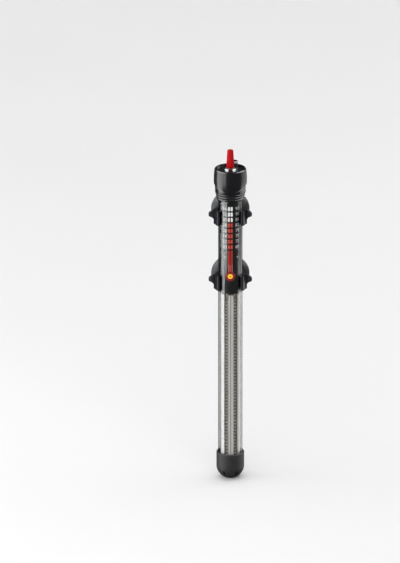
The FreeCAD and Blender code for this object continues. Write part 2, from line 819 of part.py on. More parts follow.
def indicator_nut():
    """Nut on the spindle's thread: a ring with a driving pin in the groove, a pad in front for the web
    and a shoe behind that runs in the board's slot."""
    low = nut_middle - d.nut_height / 2
    body = new_body("nut_ring")
    sketch = attached_sketch(body, "nut_outline", "XY_Plane", low)
    ring(sketch, d.screw_radius + d.slide_gap)
    ring(sketch, d.nut_radius)
    pad(body, "nut_wall", sketch, d.nut_height)
    wall = d.screw_radius + d.slide_gap * 2
    front = attached_sketch(body, "nut_pad_outline", "XY_Plane", low)
    rectangle(front, (-(d.shoe_width), -(d.nut_radius + d.web_thickness)), (d.shoe_width, -wall))
    pad(body, "nut_pad", front, d.nut_height)
    shoe = attached_sketch(body, "nut_shoe_outline", "XY_Plane", low)
    rectangle(shoe, (-(d.shoe_width / 2), wall), (d.shoe_width / 2, board_back + d.push_fit))
    pad(body, "nut_shoe", shoe, d.nut_height)
    pin_radius = d.groove_radius * 0.6
    inner = d.screw_radius - pin_radius
    pin = cylinder("nut_pin", pin_radius, d.nut_radius - inner - d.push_fit, inner, 0, nut_middle,
                   Rotation(Vector(0, 1, 0), 90))
    joined("indicator_nut", [body, pin])


def pilot_lens():
    """Red light guide flush in the card: a round eye about the amber lens and two stems in the slots."""
    half = d.mullion / 2
    body = new_body("lens_plate")
    eye = attached_sketch(body, "eye_outline", "XZ_Plane")
    ring(eye, d.ring_radius - d.push_fit, 0, lamp_height)
    pad(body, "eye", eye, card_outer)
    stems = attached_sketch(body, "stem_outline", "XZ_Plane")
    foot = lamp_height + d.ring_radius / 2
    for side in (-1, 1):
        near, far = half + d.push_fit, half + d.slot_width - d.push_fit
        rectangle(stems, ((far if side < 0 else near) * side, foot),
                  ((near if side < 0 else far) * side, slot_top - d.push_fit))
    pad(body, "stems", stems, card_outer)
    hole = ring(attached_sketch(body, "lens_hole_outline", "XZ_Plane"), d.lens_radius + d.push_fit / 2, 0,
                lamp_height)
    pocket(body, "lens_hole", hole, card_outer * 1.1, reverse=True)
    shell = new_body("lens_shell")
    corners, arcs = sector_corners(card_inner, card_outer, d.backing_half_angle * 1.6)
    low = card_foot
    pad(shell, "shell", outline(attached_sketch(shell, "shell_outline", "XY_Plane", low), corners, arcs),
        card_top - low)
    common("pilot_lens", [body, shell])


def lamp_lens():
    """Amber lens in the eye, slightly domed towards the viewer."""
    thick = d.card_wall
    dome = (d.lens_radius * d.lens_radius + d.lens_rise * d.lens_rise) / (d.lens_rise * 2)
    body = turned("lamp_lens",
                  [(0, 0), (d.lens_radius, 0), (d.lens_radius, thick / 2), (0, thick / 2 + d.lens_rise)],
                  {2: (dome, 1)})
    place(body, 0, -(card_inner + d.push_fit / 2), lamp_height, Rotation(Vector(1, 0, 0), 90))


def neon_lamp():
    """Small glow lamp standing behind the eye, with its two wires."""
    low = lamp_height - d.lamp_length / 2
    tip = d.lamp_radius
    bulb = turned("glow_bulb",
                  [(0, low), (d.lamp_radius, low), (d.lamp_radius, low + d.lamp_length - tip),
                   (0, low + d.lamp_length)],
                  {2: (d.lamp_radius, 1)})
    place(bulb, 0, -(d.lamp_back))
    length = low - board_foot - d.lug_thickness - d.push_fit
    legs = [cylinder(f"glow_wire_{side}", d.wire_radius, length + d.wire_radius,
                     d.lamp_radius / 2 * side, -(d.lamp_back), low - length) for side in (-1, 1)]
    joined("neon_lamp", [bulb] + legs)


# Thermostat on its board

def thermostat_board():
    """Insulating board hung under the bung, with a lug for the spindle's journal and one for the rod."""
    body = new_body("thermostat_board")
    face = attached_sketch(body, "board_outline", "XZ_Plane", -(board_back))
    step = d.tab_width
    outline(face,
            [(-(d.lug_half_width), board_foot), (d.lug_half_width, board_foot),
             (d.board_half_width, board_foot + step), (d.board_half_width, card_top - step),
             (d.board_half_width - step / 2, card_top), (-(d.board_half_width - step / 2), card_top),
             (-(d.board_half_width), card_top - step), (-(d.board_half_width), board_foot + step)])
    pad(body, "board", face, d.board_thickness)
    lugs = (("rod_lug", board_foot, d.lug_thickness, d.rod_radius + d.push_fit),
            ("journal_lug", screw_foot - d.bush_height - d.slide_gap, d.bush_height,
             d.journal_radius + d.spindle_fit * 2))
    for name, low, thick, bore in lugs:
        lug = attached_sketch(body, name + "_outline", "XY_Plane", low)
        half = d.lug_half_width
        outline(lug, [(-half, 0), (0, -half), (half, 0), (half, d.board_front + d.push_fit),
                      (-half, d.board_front + d.push_fit)],
                {0: (half, 1), 1: (half, 1)})
        ring(lug, bore)
        pad(body, name, lug, thick)
    guide = attached_sketch(body, "shoe_slot_outline", "XZ_Plane", -(board_back))
    half = d.shoe_width / 2 + d.slide_gap
    reach = d.nut_height / 2 + d.slide_gap
    rectangle(guide, (-half, nut_middle - travel_down - reach), (half, nut_middle + travel_up + reach))
    pocket(body, "shoe_slot", guide, d.board_thickness * 3, both_sides=True)


def contact_leaf():
    """Spring leaf that the nut's shoe bears on: a sliding fulcrum that sets where the contacts part."""
    low = board_back + d.slide_gap
    half = d.leaf_width / 2
    strip = block("leaf_strip", (-half, low, leaf_foot), (half, low + d.leaf_thickness, contact_level + d.leaf_over))
    foot = block("leaf_foot_pad", (-half, board_back, leaf_foot),
                 (half, low + d.leaf_thickness / 2, leaf_foot + d.bush_height))
    joined("contact_leaf", [strip, foot])


def leaf_rivets():
    """Rivet heads that hold the leaf's foot, its outer face, and the blade's block."""
    face = board_back + d.slide_gap + d.leaf_thickness
    outward = Rotation(Vector(1, 0, 0), -90)
    rivets = [cylinder(f"leaf_rivet_{side}", d.wire_radius * 3, d.leaf_thickness * 2, d.leaf_width / 4 * side,
                       face, leaf_foot + d.bush_height / 2, outward) for side in (-1, 1)]
    joined("leaf_rivets", rivets)


blade_face = board_back + d.blade_standoff
parts_foot = board_foot + d.tab_width + d.resistor_radius


def blade_block():
    """Moulded foot of the bimetal blade, standing on the board."""
    half = d.blade_width / 2
    block("blade_block", (-half, board_back, blade_foot),
          (half, blade_face - d.push_fit, blade_foot + d.bush_height * 3))


def bimetal_blade():
    half = d.blade_width / 2
    strip = block("blade_strip", (-half, blade_face, blade_foot), (half, blade_face + d.blade_thickness, blade_tip))
    armature = block("blade_armature", (-half, blade_face - d.blade_thickness, blade_tip - d.magnet_length * 0.8),
                     (half, blade_face, blade_tip))
    joined("bimetal_blade", [strip, armature])


def contacts():
    """The two silver contacts, facing each other between leaf and blade."""
    outward = Rotation(Vector(1, 0, 0), -90)
    leaf_face = board_back + d.slide_gap + d.leaf_thickness
    gap = blade_face - leaf_face - d.contact_gap
    cylinder("fixed_contact", d.contact_radius, gap / 2, 0, leaf_face, contact_level, outward)
    cylinder("moving_contact", d.contact_radius, gap / 2, 0, blade_face - gap / 2, contact_level, outward)


def snap_magnet():
    """Small magnet that snaps the contacts shut by the blade's armature."""
    half = d.blade_width / 2
    face = blade_face - d.blade_thickness - d.slide_gap
    block("snap_magnet", (-half, board_back, blade_tip - d.magnet_length),
          (half, face, blade_tip - d.slide_gap))


def resistor():
    low = parts_foot
    swell = d.resistor_radius * 0.85
    end = d.resistor_length / 5
    turned_body = turned("resistor_body",
                         [(0, 0), (d.resistor_radius, 0), (d.resistor_radius, end), (swell, end * 1.3),
                          (swell, d.resistor_length - end * 1.3), (d.resistor_radius, d.resistor_length - end),
                          (d.resistor_radius, d.resistor_length), (0, d.resistor_length)])
    x, y = -(d.lug_half_width + d.resistor_radius), d.board_front - d.resistor_radius - d.push_fit
    place(turned_body, x, y, low)
    leg = cylinder("resistor_legs", d.wire_radius, d.resistor_length * 1.4, x, y, low - d.resistor_length * 0.2)
    joined("lamp_resistor", [turned_body, leg])


def capacitor():
    """Suppression capacitor: a rounded block with two legs, flat on the board's front."""
    body = new_body("capacitor_body")
    low = parts_foot
    left = d.board_half_width - d.capacitor_width
    face = attached_sketch(body, "capacitor_outline", "XY_Plane", low)
    rectangle(face, (left, d.board_front - d.push_fit - d.capacitor_width), (d.board_half_width, d.board_front - d.push_fit))
    block_pad = pad(body, "capacitor_block", face, d.capacitor_height)
    doc.recompute()
    soften = body.newObject("PartDesign::Fillet", "capacitor_edges")
    soften.Base = (block_pad, [f"Edge{number}" for number in range(1, 13)])
    soften.setExpression("Radius", (d.capacitor_width / 6).text)
    legs = [cylinder(f"capacitor_leg_{side}", d.wire_radius, d.bush_height * 0.8,
                     left + d.capacitor_width * (0.5 + 0.28 * side), d.board_front - d.capacitor_width / 2,
                     low - d.bush_height * 0.5) for side in (-1, 1)]
    joined("suppression_capacitor", [body] + legs)


lead_x = d.board_half_width - d.tab_width / 2 - d.push_fit
lead_y = d.board_front - d.tab_thickness - d.lead_radius
tab_low = card_top - d.tab_length - d.tab_width
element_tab_low = parts_foot + d.capacitor_height + d.lead_radius * 5


def terminal_tabs():
    """Brass tabs on the board's front: the mains pair under the bung, the element's pair lower down."""
    tabs = []
    half = d.tab_width / 2
    for name, low in (("mains", tab_low), ("element", element_tab_low)):
        for side in (-1, 1):
            middle = lead_x * side
            tabs.append(block(f"{name}_tab_{side}", (middle - half, d.board_front - d.tab_thickness, low),
                              (middle + half, d.board_front, low + d.tab_length * 0.8)))
    joined("terminal_tabs", tabs)


def mains_leads():
    """The lead's two cores, from under the gland past the spindle and through the bung to their tabs."""
    apart = d.lead_radius.value * 1.15
    way = Vector(d.gland_x.value, d.gland_y.value, 0).normalize()
    middle = way * (d.head_cavity_radius.value - d.lead_radius.value * 2.5)
    mouth = cavity_top.value - d.push_fit.value
    bend = bung_top.value + (cavity_top.value - bung_top.value) * 0.5
    end = tab_low.value + d.tab_length.value * 0.5
    y = lead_y.value
    for name, side in (("neutral_lead", -1), ("live_lead", 1)):
        x = lead_x.value * side
        start = Vector(middle.x + apart * side, middle.y, mouth)
        turn = Vector(start.x, start.y, bend + d.lead_radius.value * 2)
        above = Vector(x, y, bend - d.lead_radius.value * 2)
        route = [start, turn, above, Vector(x, y, end)]
        computed(name, tube_along(rounded_route(route, d.lead_radius.value * 5), d.lead_radius.value))


# Heating element: ceramic core, tie rod, baffle, cushion, coil and its leads

def groove_spot(side):
    """Centre of the left or right front groove."""
    angle = math.radians(d.core_turn_angle.value + side * 180 / d.groove_count.value)
    reach = d.groove_centre.value
    return Vector(reach * math.sin(angle), -reach * math.cos(angle), 0)


def ceramic_core():
    """Ceramic bar with a bore for the rod and open grooves along its length for the coil."""
    body = new_body("ceramic_core")
    section = attached_sketch(body, "core_outline", "XY_Plane", d.core_foot)
    ring(section, d.core_radius)
    ring(section, d.core_bore)
    pad(body, "core_bar", section, core_top - d.core_foot)
    half = d.groove_width / 2
    cutter = attached_sketch(body, "groove_outline", "XY_Plane", d.core_foot - d.push_fit)
    outer = d.core_radius * 1.2
    outline(cutter,
            [(d.groove_centre, half), (d.groove_centre - half, 0), (d.groove_centre, -half), (outer, -half),
             (outer, half)],
            {0: (half, 1), 1: (half, 1)})
    groove = pocket(body, "groove", cutter, core_top - d.core_foot + d.push_fit * 2, reverse=True)
    around(body, "grooves", groove, d.groove_count)
    turn = -90.0 + d.core_turn_angle.value + 180 / d.groove_count.value
    place(body, rotation=Rotation(Vector(0, 0, 1), turn))


def baffle_disc():
    """Mica disc between the hot core and the thermostat."""
    body = new_body("baffle_disc")
    disc = attached_sketch(body, "baffle_outline", "XY_Plane", baffle_foot)
    ring(disc, card_inner - d.slide_gap)
    ring(disc, d.rod_radius + d.push_fit)
    for side in (-1, 1):
        spot = groove_spot(side)
        ring(disc, d.lead_radius + d.push_fit * 2, spot.x, spot.y)
    pad(body, "baffle", disc, d.baffle_thickness)


def core_cushion():
    """Glass-fibre pad in the tube's round end, under the core."""
    radius = tube_bore - d.slide_gap
    top = d.core_foot - d.rod_head_height - d.push_fit * 2
    side = tube_bore * 0.62
    turned("core_cushion",
           [(0, dome_centre - radius), (side, dome_centre - chord_height(radius, side)), (radius, dome_centre),
            (radius, top), (0, top)],
           {0: (radius, 1), 1: (radius, 1)})


def tie_rod():
    top = board_foot + d.lug_thickness + d.nut_thickness + d.rod_radius
    foot = d.core_foot - d.rod_head_height
    turned("tie_rod",
           [(0, foot), (d.rod_head_radius, foot), (d.rod_head_radius, d.core_foot - d.push_fit),
            (d.rod_radius, d.core_foot - d.push_fit), (d.rod_radius, top), (0, top)])


def rod_nut():
    body = new_body("rod_nut")
    low = board_foot + d.lug_thickness + d.push_fit / 2
    hexagon = attached_sketch(body, "hexagon", "XY_Plane", low)
    reach = d.nut_across_flats / math.sqrt(3)
    outline(hexagon, [(reach * math.cos(math.radians(60 * corner)), reach * math.sin(math.radians(60 * corner)))
                      for corner in range(6)])
    ring(hexagon, d.rod_radius + d.push_fit / 2)
    pad(body, "nut_prism", hexagon, d.nut_thickness)


def nearest_turns(points, skip, reach):
    """Least distance between points of a path over skip steps apart along it, up to the reach."""
    least = reach
    for number, here in enumerate(points):
        for there in points[number + skip:]:
            if abs(there.z - here.z) < least:
                least = min(least, here.distanceToPoint(there))
    return least


def heating_coil():
    """One unbroken resistance wire: down the right front groove in close curls, across under the core
    and up the left one, with straight tails at the top."""
    wire, radius = d.coil_wire_radius.value, d.coil_radius.value
    turns = int(d.coil_turns.value)
    high, low = core_top.value - d.coil_margin.value, d.core_foot.value + d.coil_margin.value
    right, left = groove_spot(1), groove_spot(-1)
    up, down = Vector(0, 0, 1), Vector(0, 0, -1)
    under = d.core_foot.value - wire * 2 - d.push_fit.value
    tail = core_top.value + wire * 2
    stops = [(Vector(right.x, right.y, tail), down), (Vector(right.x, right.y, high + radius * 2), down)]
    stops += helix_stops(right, radius, high, low - high, turns, 2)
    stops += [(Vector(right.x, right.y, low - radius * 2), down)]
    edges = through(stops)
    corner = wire * 3
    across = (left - right).normalize()
    bottom = [Vector(right.x, right.y, low - radius * 2), Vector(right.x, right.y, under),
              Vector(left.x, left.y, under), Vector(left.x, left.y, low - radius * 2)]
    edges += rounded_route(bottom, corner)
    stops = [(bottom[-1], up)] + helix_stops(left, radius, low, high - low, turns, 2)
    stops += [(Vector(left.x, left.y, high + radius * 2), up), (Vector(left.x, left.y, tail), up)]
    edges += through(stops)
    computed("heating_coil", tube_along(edges, wire))
    points = [edge.valueAt(edge.FirstParameter + (edge.LastParameter - edge.FirstParameter) * part / 6)
              for edge in edges for part in range(6)]
    least = nearest_turns(points, 12, d.coil_margin.value)
    print(f"heating coil: {turns * 2} curls, gap to itself {least - wire * 2:.2f} mm")


def element_leads():
    """Insulated leads from the coil's tails up through the baffle and round to their tabs."""
    radius = d.lead_radius.value
    start = core_top.value + d.coil_wire_radius.value * 2
    low = baffle_top.value + radius * 3
    high = element_tab_low.value - radius * 4
    end = element_tab_low.value + d.tab_length.value * 0.4
    side_x = tongue_inner.value - radius - d.slide_gap.value
    for name, side in (("left_element_lead", -1), ("right_element_lead", 1)):
        spot = groove_spot(side)
        route = [Vector(spot.x, spot.y, start), Vector(spot.x, spot.y, low),
                 Vector(side_x * side, -radius, low + radius * 6), Vector(side_x * side, -radius, high),
                 Vector(lead_x.value * side, lead_y.value, high + radius * 6),
                 Vector(lead_x.value * side, lead_y.value, end)]
        computed(name, tube_along(rounded_route(route, radius * 5), radius))


# Clips and suction cups

def tube_clip(label, height):
    """Sprung clip that grips the tube from behind: two arms with rounded ears, and a plate for the cup."""
    body = new_body(label)
    inner = tube_radius + d.slide_gap
    outer = inner + d.clip_wall
    middle = (inner + outer) / 2
    arm = d.clip_open_angle
    tip = arm - (d.clip_wall / 2) / middle * (180 / math.pi)
    half = d.clip_plate_half
    root_y = chord_height(outer, half)
    plan = attached_sketch(body, label + "_plan", "XY_Plane", -(d.clip_height / 2))
    right = [(radius * sine(angle), -(radius * cosine(angle)))
             for radius, angle in ((inner, arm), (outer, arm), (middle, tip))]
    left = [(-across, up) for across, up in right]
    corners = [right[0], (inner, 0), (0, inner), (-inner, 0), left[0], left[2], left[1], (-outer, 0),
               (-half, root_y), (-half, d.clip_plate_reach), (half, d.clip_plate_reach), (half, root_y),
               (outer, 0), right[1], right[2]]
    end_round = d.clip_wall / 2 * 1.02
    arcs = {0: (inner, 1), 1: (inner, 1), 2: (inner, 1), 3: (inner, 1), 4: (end_round, -1), 5: (end_round, -1),
            6: (outer, -1), 7: (outer, -1), 11: (outer, -1), 12: (outer, -1), 13: (end_round, -1),
            14: (end_round, -1)}
    pad(body, label + "_wall", outline(plan, corners, arcs), d.clip_height)
    top, low = d.clip_height / 2, -(d.clip_height / 2)
    ear = attached_sketch(body, label + "_ear_outline", "XZ_Plane")
    inside = inner + d.clip_wall / 3
    shoulder = top - d.clip_height * 0.04
    nose = top * 0.32
    outline(ear,
            [(inside, low), (d.ear_waist, low), (d.ear_waist, top * -0.38), (d.ear_reach - 0.9, nose - 2.2),
             (d.ear_reach, nose), (d.ear_reach - 1.6, nose + 2.2), (d.ear_waist + 0.6, shoulder),
             (inside, top)],
            {2: (d.ear_reach - d.ear_waist, -1), 3: (as_size(2.6), 1), 4: (as_size(2.6), 1),
             5: (d.clip_height * 0.55, 1)})
    ears = pad(body, label + "_ear", ear, d.ear_thickness, both_sides=True)
    doc.recompute()
    mirror = body.newObject("PartDesign::Mirrored", label + "_ears")
    mirror.Originals = [ears]
    mirror.MirrorPlane = (datum(body, "YZ_Plane"), [""])
    body.Tip = mirror
    seat = d.clip_plate_reach - d.clip_plate_wall
    room = attached_sketch(body, label + "_button_room_outline", "XZ_Plane")
    ring(room, d.cup_button + d.slide_gap)
    pocket(body, label + "_button_room", room, seat)
    hole = attached_sketch(body, label + "_cup_hole_outline", "XZ_Plane")
    ring(hole, d.cup_neck + d.slide_gap)
    pocket(body, label + "_cup_hole", hole, d.clip_plate_reach * 1.2)
    place(body, z=height)


def suction_cup(label, height):
    """Rubber cup: a button behind the clip's plate, a neck through it, a hub and the dished skirt."""
    seat = d.clip_plate_reach - d.clip_plate_wall
    button = seat - d.slide_gap - d.cup_button_height
    hub = d.clip_plate_reach + d.slide_gap
    hub_top = hub + d.cup_hub_height
    rim = d.cup_rim_plane
    land = d.cup_radius - d.cup_land
    slope = (d.cup_radius - d.cup_hub) * 1.15
    inside = hub_top + d.cup_skin * 0.35
    body = turned(label,
                  [(0, button), (d.cup_button - d.slide_gap, button), (d.cup_button, button + d.cup_button_height / 2),
                   (d.cup_button, seat - d.slide_gap), (d.cup_neck, seat - d.slide_gap), (d.cup_neck, hub),
                   (d.cup_hub, hub), (d.cup_hub, hub_top), (d.cup_radius, rim - d.cup_lip), (d.cup_radius, rim),
                   (land, rim), (d.cup_hub * 0.9, inside), (0, inside)],
                  {7: (slope, 1), 10: (slope, -1)})
    place(body, z=height, rotation=Rotation(Vector(1, 0, 0), -90))


NODES = [
    "glass_tube", "foot_cap", "head_cover", "head_bung", "spindle_seal", "knob_collar", "cable_gland",
    "adjusting_knob", "spindle", "spindle_circlip", "scale_card", "white_backing", "indicator_tongue",
    "indicator_nut", "pilot_lens", "lamp_lens", "neon_lamp", "thermostat_board", "contact_leaf",
    "leaf_rivets", "blade_block", "bimetal_blade", "fixed_contact", "moving_contact", "snap_magnet",
    "lamp_resistor", "suppression_capacitor", "terminal_tabs", "live_lead", "neutral_lead", "ceramic_core",
    "baffle_disc", "core_cushion", "tie_rod", "rod_nut", "heating_coil", "left_element_lead",
    "right_element_lead", "upper_clip", "upper_suction_cup", "lower_clip", "lower_suction_cup",
]


def build():
    glass_tube()
    foot_cap()
    head_cover()
    head_bung()
    spindle_seal()
    knob_collar()
    cable_gland()
    adjusting_knob()
    spindle()
    spindle_circlip()
    scale_card()
    white_backing()
    indicator_tongue()
    indicator_nut()
    pilot_lens()
    lamp_lens()
    neon_lamp()
    thermostat_board()
    contact_leaf()
    leaf_rivets()
    blade_block()
    bimetal_blade()
    contacts()
    snap_magnet()
    resistor()
    capacitor()
    terminal_tabs()
    mains_leads()
    ceramic_core()
    baffle_disc()
    core_cushion()
    tie_rod()
    rod_nut()
    heating_coil()
    element_leads()
    for place_name, height in (("upper", upper_clip_height), ("lower", lower_clip_height)):
        tube_clip(place_name + "_clip", height)
        suction_cup(place_name + "_suction_cup", height)


def check_document():
    """Stops on any failed object, and on any piece whose shape is empty or not valid."""
    doc.recompute()
    for item in doc.Objects:
        bad = [state for state in item.State if state in ("Invalid", "Error")]
        if bad:
            raise ValueError(f"{item.Name} is {bad}")
    for node in NODES:
        shape = doc.getObject(node).Shape
        if shape.isNull() or not shape.isValid() or not shape.Solids:
            raise ValueError(f"{node} has no valid solid")


def write_parts():
    os.makedirs("parts", exist_ok=True)
    for node in NODES:
        doc.getObject(node).Shape.exportStep(f"parts/{node}.step")


build()
check_document()
write_parts()
print(f"{len(NODES)} pieces written")
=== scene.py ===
"""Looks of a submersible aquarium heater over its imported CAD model, in metres and in its frame."""

import math

import bmesh
import bpy
from bpy.props import FloatProperty, FloatVectorProperty, PointerProperty
from mathutils import Matrix, Vector


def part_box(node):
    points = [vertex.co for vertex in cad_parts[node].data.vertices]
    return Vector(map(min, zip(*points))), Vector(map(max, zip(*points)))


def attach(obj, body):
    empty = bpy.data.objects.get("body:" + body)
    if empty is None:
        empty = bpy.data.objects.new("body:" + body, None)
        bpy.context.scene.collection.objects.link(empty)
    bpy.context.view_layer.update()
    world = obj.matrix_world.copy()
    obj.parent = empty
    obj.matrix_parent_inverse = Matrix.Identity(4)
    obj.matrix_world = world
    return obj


bl_info = {
    "name": "Aquarium heater looks",
    "version": (1, 0, 0),
    "blender": (4, 5, 0),
    "location": "View3D > Sidebar > Heater",
    "description": "Dresses the packed model of a submersible aquarium heater",
    "category": "Object",
}

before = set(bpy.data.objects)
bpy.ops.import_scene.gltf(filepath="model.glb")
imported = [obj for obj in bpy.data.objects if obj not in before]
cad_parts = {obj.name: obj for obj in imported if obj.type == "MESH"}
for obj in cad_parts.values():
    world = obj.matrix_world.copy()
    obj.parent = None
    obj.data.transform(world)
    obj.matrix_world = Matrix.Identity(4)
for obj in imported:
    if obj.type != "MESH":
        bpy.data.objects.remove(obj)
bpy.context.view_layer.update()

MM = 0.001
IMAGE_WIDTH, IMAGE_HEIGHT = 400.0, 563.0


def low(node):
    """A node's lowest corner in millimetres."""
    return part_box(node)[0] / MM


def high(node):
    """A node's highest corner in millimetres."""
    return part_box(node)[1] / MM


def centre(node):
    """A node's middle in millimetres."""
    return (low(node) + high(node)) / 2


CARD_RADIUS = high("scale_card").x
LAMP_HEIGHT = centre("lamp_lens").z
LENS_RADIUS = high("lamp_lens").x
SLOT_TOP = high("pilot_lens").z
# rows of windows: from the long slots' top to the middle of the lowest row, and from row to row
ROW_RISE = 3.65
ROW_PITCH = 5.65
# the head's ridges, and its curved edge by its lowest point over the skirt and its radius
RIDGE_PITCH = 2.6
SMILE_LOW, SMILE_RADIUS = 10.4, 26.0
# where finishes change, from one value to the other: the flank of the ridges, the barrel over them, a clip's ears
# and corners, the bar's grooves and its front, the thread, the ends of the leads to the bar, and a mould's parting
RIDGE_RADIUS, BARREL_RADIUS = (12.6, 13.0), (13.5, 14.0)
EAR_REACH, CORNER_REACH = (15.5, 20.5), (5.6, 7.2)
GROOVE_RADIUS, BAR_FRONT, THREAD_RADIUS = (8.0, 9.2), (-4.0, -1.0), (3.0, 3.6)
HOT_ENDS = (195.0, 208.0)
PARTING = (-0.05, 0.05, 0.04)
# profiles of the small turned pieces, as (radius, height)
BUSH_PROFILE = ((2.88, 0.0), (3.15, 0.0), (3.30, 0.15), (3.30, 1.75), (3.15, 1.90), (2.88, 1.90), (2.88, 0.0))
ELECTRODE_PROFILE = ((0.0, -5.3), (0.35, -5.3), (0.35, 2.8), (0.24, 3.2), (0.0, 3.3))
RIVET_PROFILE = ((0.0, 0.0), (1.10, 0.0), (1.05, 0.18), (0.85, 0.40), (0.45, 0.55), (0.0, 0.60))
SOLDER_PROFILE = ((0.0, 0.0), (1.35, 0.0), (1.02, 0.16), (0.88, 0.45), (0.82, 1.00), (0.62, 1.40), (0.0, 1.62))
CRIMP_PROFILE = ((0.36, 0.0), (0.66, 0.0), (0.78, 0.15), (0.78, 0.75), (0.62, 0.95), (0.62, 1.45), (0.78, 1.65),
                 (0.78, 2.25), (0.66, 2.40), (0.36, 2.40), (0.36, 0.0))
# their places: the bush under the gland's top, the electrodes aside, the rivets over the blade's foot and behind
# its block, the solder in from the tabs' sides and past the leads' ends, the crimps on the coil's tails
BUSH_DROP, ELECTRODE_ASIDE, RIVET_HEIGHTS, RIVET_BACK = 2.0, 0.7, (2.5, 6.5), 0.7
SOLDER_IN, SOLDER_PAST, TAIL_SPOTS, CRIMP_DROP = 1.5, 0.65, ((-3.288, -6.741), (4.194, -6.218)), 2.42
RIVET_STEEL = ((0.55, 0.55, 0.56), (0.36, 0.36, 0.37))
CELSIUS = [str(value) for value in range(20, 35, 2)]
FAHRENHEIT = ("68", "72", "75", "79", "82", "86", "90", "93")
# the height of the camera's aim, the lowest edge of the foot that it sees, and half the floor, in metres
AIM_HEIGHT, FOOT_EDGE, FLOOR_REACH = 0.17, (0, -0.0075, 0.0022), 14.0
# each softbox: its azimuth and elevation in degrees, its distance, width, height and the height of its middle in
# metres, the light property that it follows and its share of that, and whether gloss alone shows it
SOFTBOXES = (("left_softbox", -82, 0, 1.2, 0.96, 1.1, 0.0, "left", 1.0, False),
             ("left_inner_softbox", -45.5, 0, 1.2, 0.62, 0.8, 0.2, "left", 0.7, False),
             ("right_softbox", 115, 0, 1.2, 1.4, 0.75, 0.175, "right", 1.0, False),
             ("right_low_softbox", 115, 0, 1.2, 1.4, 0.4, -0.4, "right", 2.0, False),
             ("upper_left_softbox", -80, 38, 3.0, 4.2, 2.8, 0.17, "upper", 1.0, True),
             ("upper_right_softbox", 95, 38, 3.0, 4.2, 2.8, 0.17, "upper", 1.0, True))
# the suns' elevations and their softness, in degrees
FRONT_SUN, SKY_SUN, SUN_SOFTNESS = 30, 100, 60
# the wall that metal and glass mirror, as directions: its foot, top and softness, and where it starts behind
WALL_RISE, WALL_BACK = (0.02, 0.11, 0.02), (-0.1, 0.3)


# Sizes and colours that a user may change

def shade(name, description, value):
    """A colour property."""
    return FloatVectorProperty(name=name, description=description, default=value, size=3, min=0, max=1,
                               subtype="COLOR")


def length_property(name, description, value):
    """A length property, in metres."""
    return FloatProperty(name=name, description=description, default=value, unit="LENGTH")


def angle_property(name, description, degrees):
    """An angle property."""
    return FloatProperty(name=name, description=description, default=math.radians(degrees), subtype="ANGLE")


def strength_property(name, light, value):
    """A property for a light's strength."""
    return FloatProperty(name=name, description="Strength of the " + light, default=value, min=0)


class FinishColours(bpy.types.PropertyGroup):
    """Colours of the heater's finishes."""
    head_black: shade("Head", "Moulded plastic of the head", (0.006, 0.006, 0.007))
    foot_black: shade("Foot cap", "Softer plastic of the foot cap", (0.013, 0.013, 0.014))
    clip_black: shade("Clips", "Moulded plastic of the clips", (0.008, 0.008, 0.010))
    cup_black: shade("Cups", "Rubber of the suction cups", (0.014, 0.015, 0.020))
    knob_red: shade("Knob", "Plastic of the setting knob", (0.42, 0.006, 0.009))
    card_black: shade("Card", "Printed ground of the scale", (0.005, 0.005, 0.006))
    print_pale: shade("Numerals", "Print of the scale", (0.66, 0.66, 0.66))
    backing_white: shade("Backing", "White strip behind the windows", (0.90, 0.90, 0.89))
    slider_red: shade("Indicator", "Red slider behind the windows", (0.66, 0.085, 0.050))
    guide_red: shade("Light guide", "Red stems and ring", (0.52, 0.030, 0.024))
    glow_amber: shade("Glow", "Light of the pilot lamp", (1, 0.55, 0.05))
    fired_grey: shade("Ceramic", "Fired body of the heating bar", (0.41, 0.395, 0.375))
    board_brown: shade("Board", "Laminate of the thermostat's board", (0.20, 0.105, 0.045))
    bush_grey: shade("Bush", "Pale bush on the gland", (0.56, 0.57, 0.63))
    solder_grey: shade("Solder", "Tin of the joints", (0.62, 0.62, 0.63))


class ScaleSizes(bpy.types.PropertyGroup):
    """Sizes of the scale's print."""
    digit_size: length_property("Digit size", "Size of the numerals", 0.0048)
    mark_size: length_property("Mark size", "Size of the unit marks", 0.0034)
    left_angle: angle_property("Left column", "Where the left column stands round the card", -33)
    right_angle: angle_property("Right column", "Where the right column stands round the card", 42)
    mark_drop: length_property("Mark drop", "From the long slots' top down to the unit marks", 0.0075)
    print_lift: length_property("Print lift", "Height of the ink over the card", 0.00004)


class StageSizes(bpy.types.PropertyGroup):
    """Camera and light."""
    distance: length_property("Distance", "From the object's middle to the camera", 9.0)
    elevation: angle_property("Elevation", "Camera's height as an angle over the object", 19.5)
    centre_x: FloatProperty(name="Centre across", description="Image column of the object's axis", default=230.3)
    top_y: FloatProperty(name="Top", description="Image row of the knob's top", default=150.0)
    foot_y: FloatProperty(name="Foot", description="Image row of the foot cap's lowest edge", default=477.0)
    left: strength_property("Left softboxes", "upright left softboxes", 3.6)
    right: strength_property("Right softboxes", "upright right softboxes", 0.85)
    upper: strength_property("Upper softboxes", "softboxes above, seen in gloss alone", 7.0)
    front: strength_property("Front light", "even light over the front", 0.50)
    sky: strength_property("Sky light", "even light from above", 0.40)
    room: strength_property("Room", "room's own light", 0.28)
    mirrored: strength_property("Mirrored room", "room in metal and glass", 0.05)
    floor_pale: shade("Floor", "Plain floor", (0.84, 0.84, 0.84))


# Shader maths

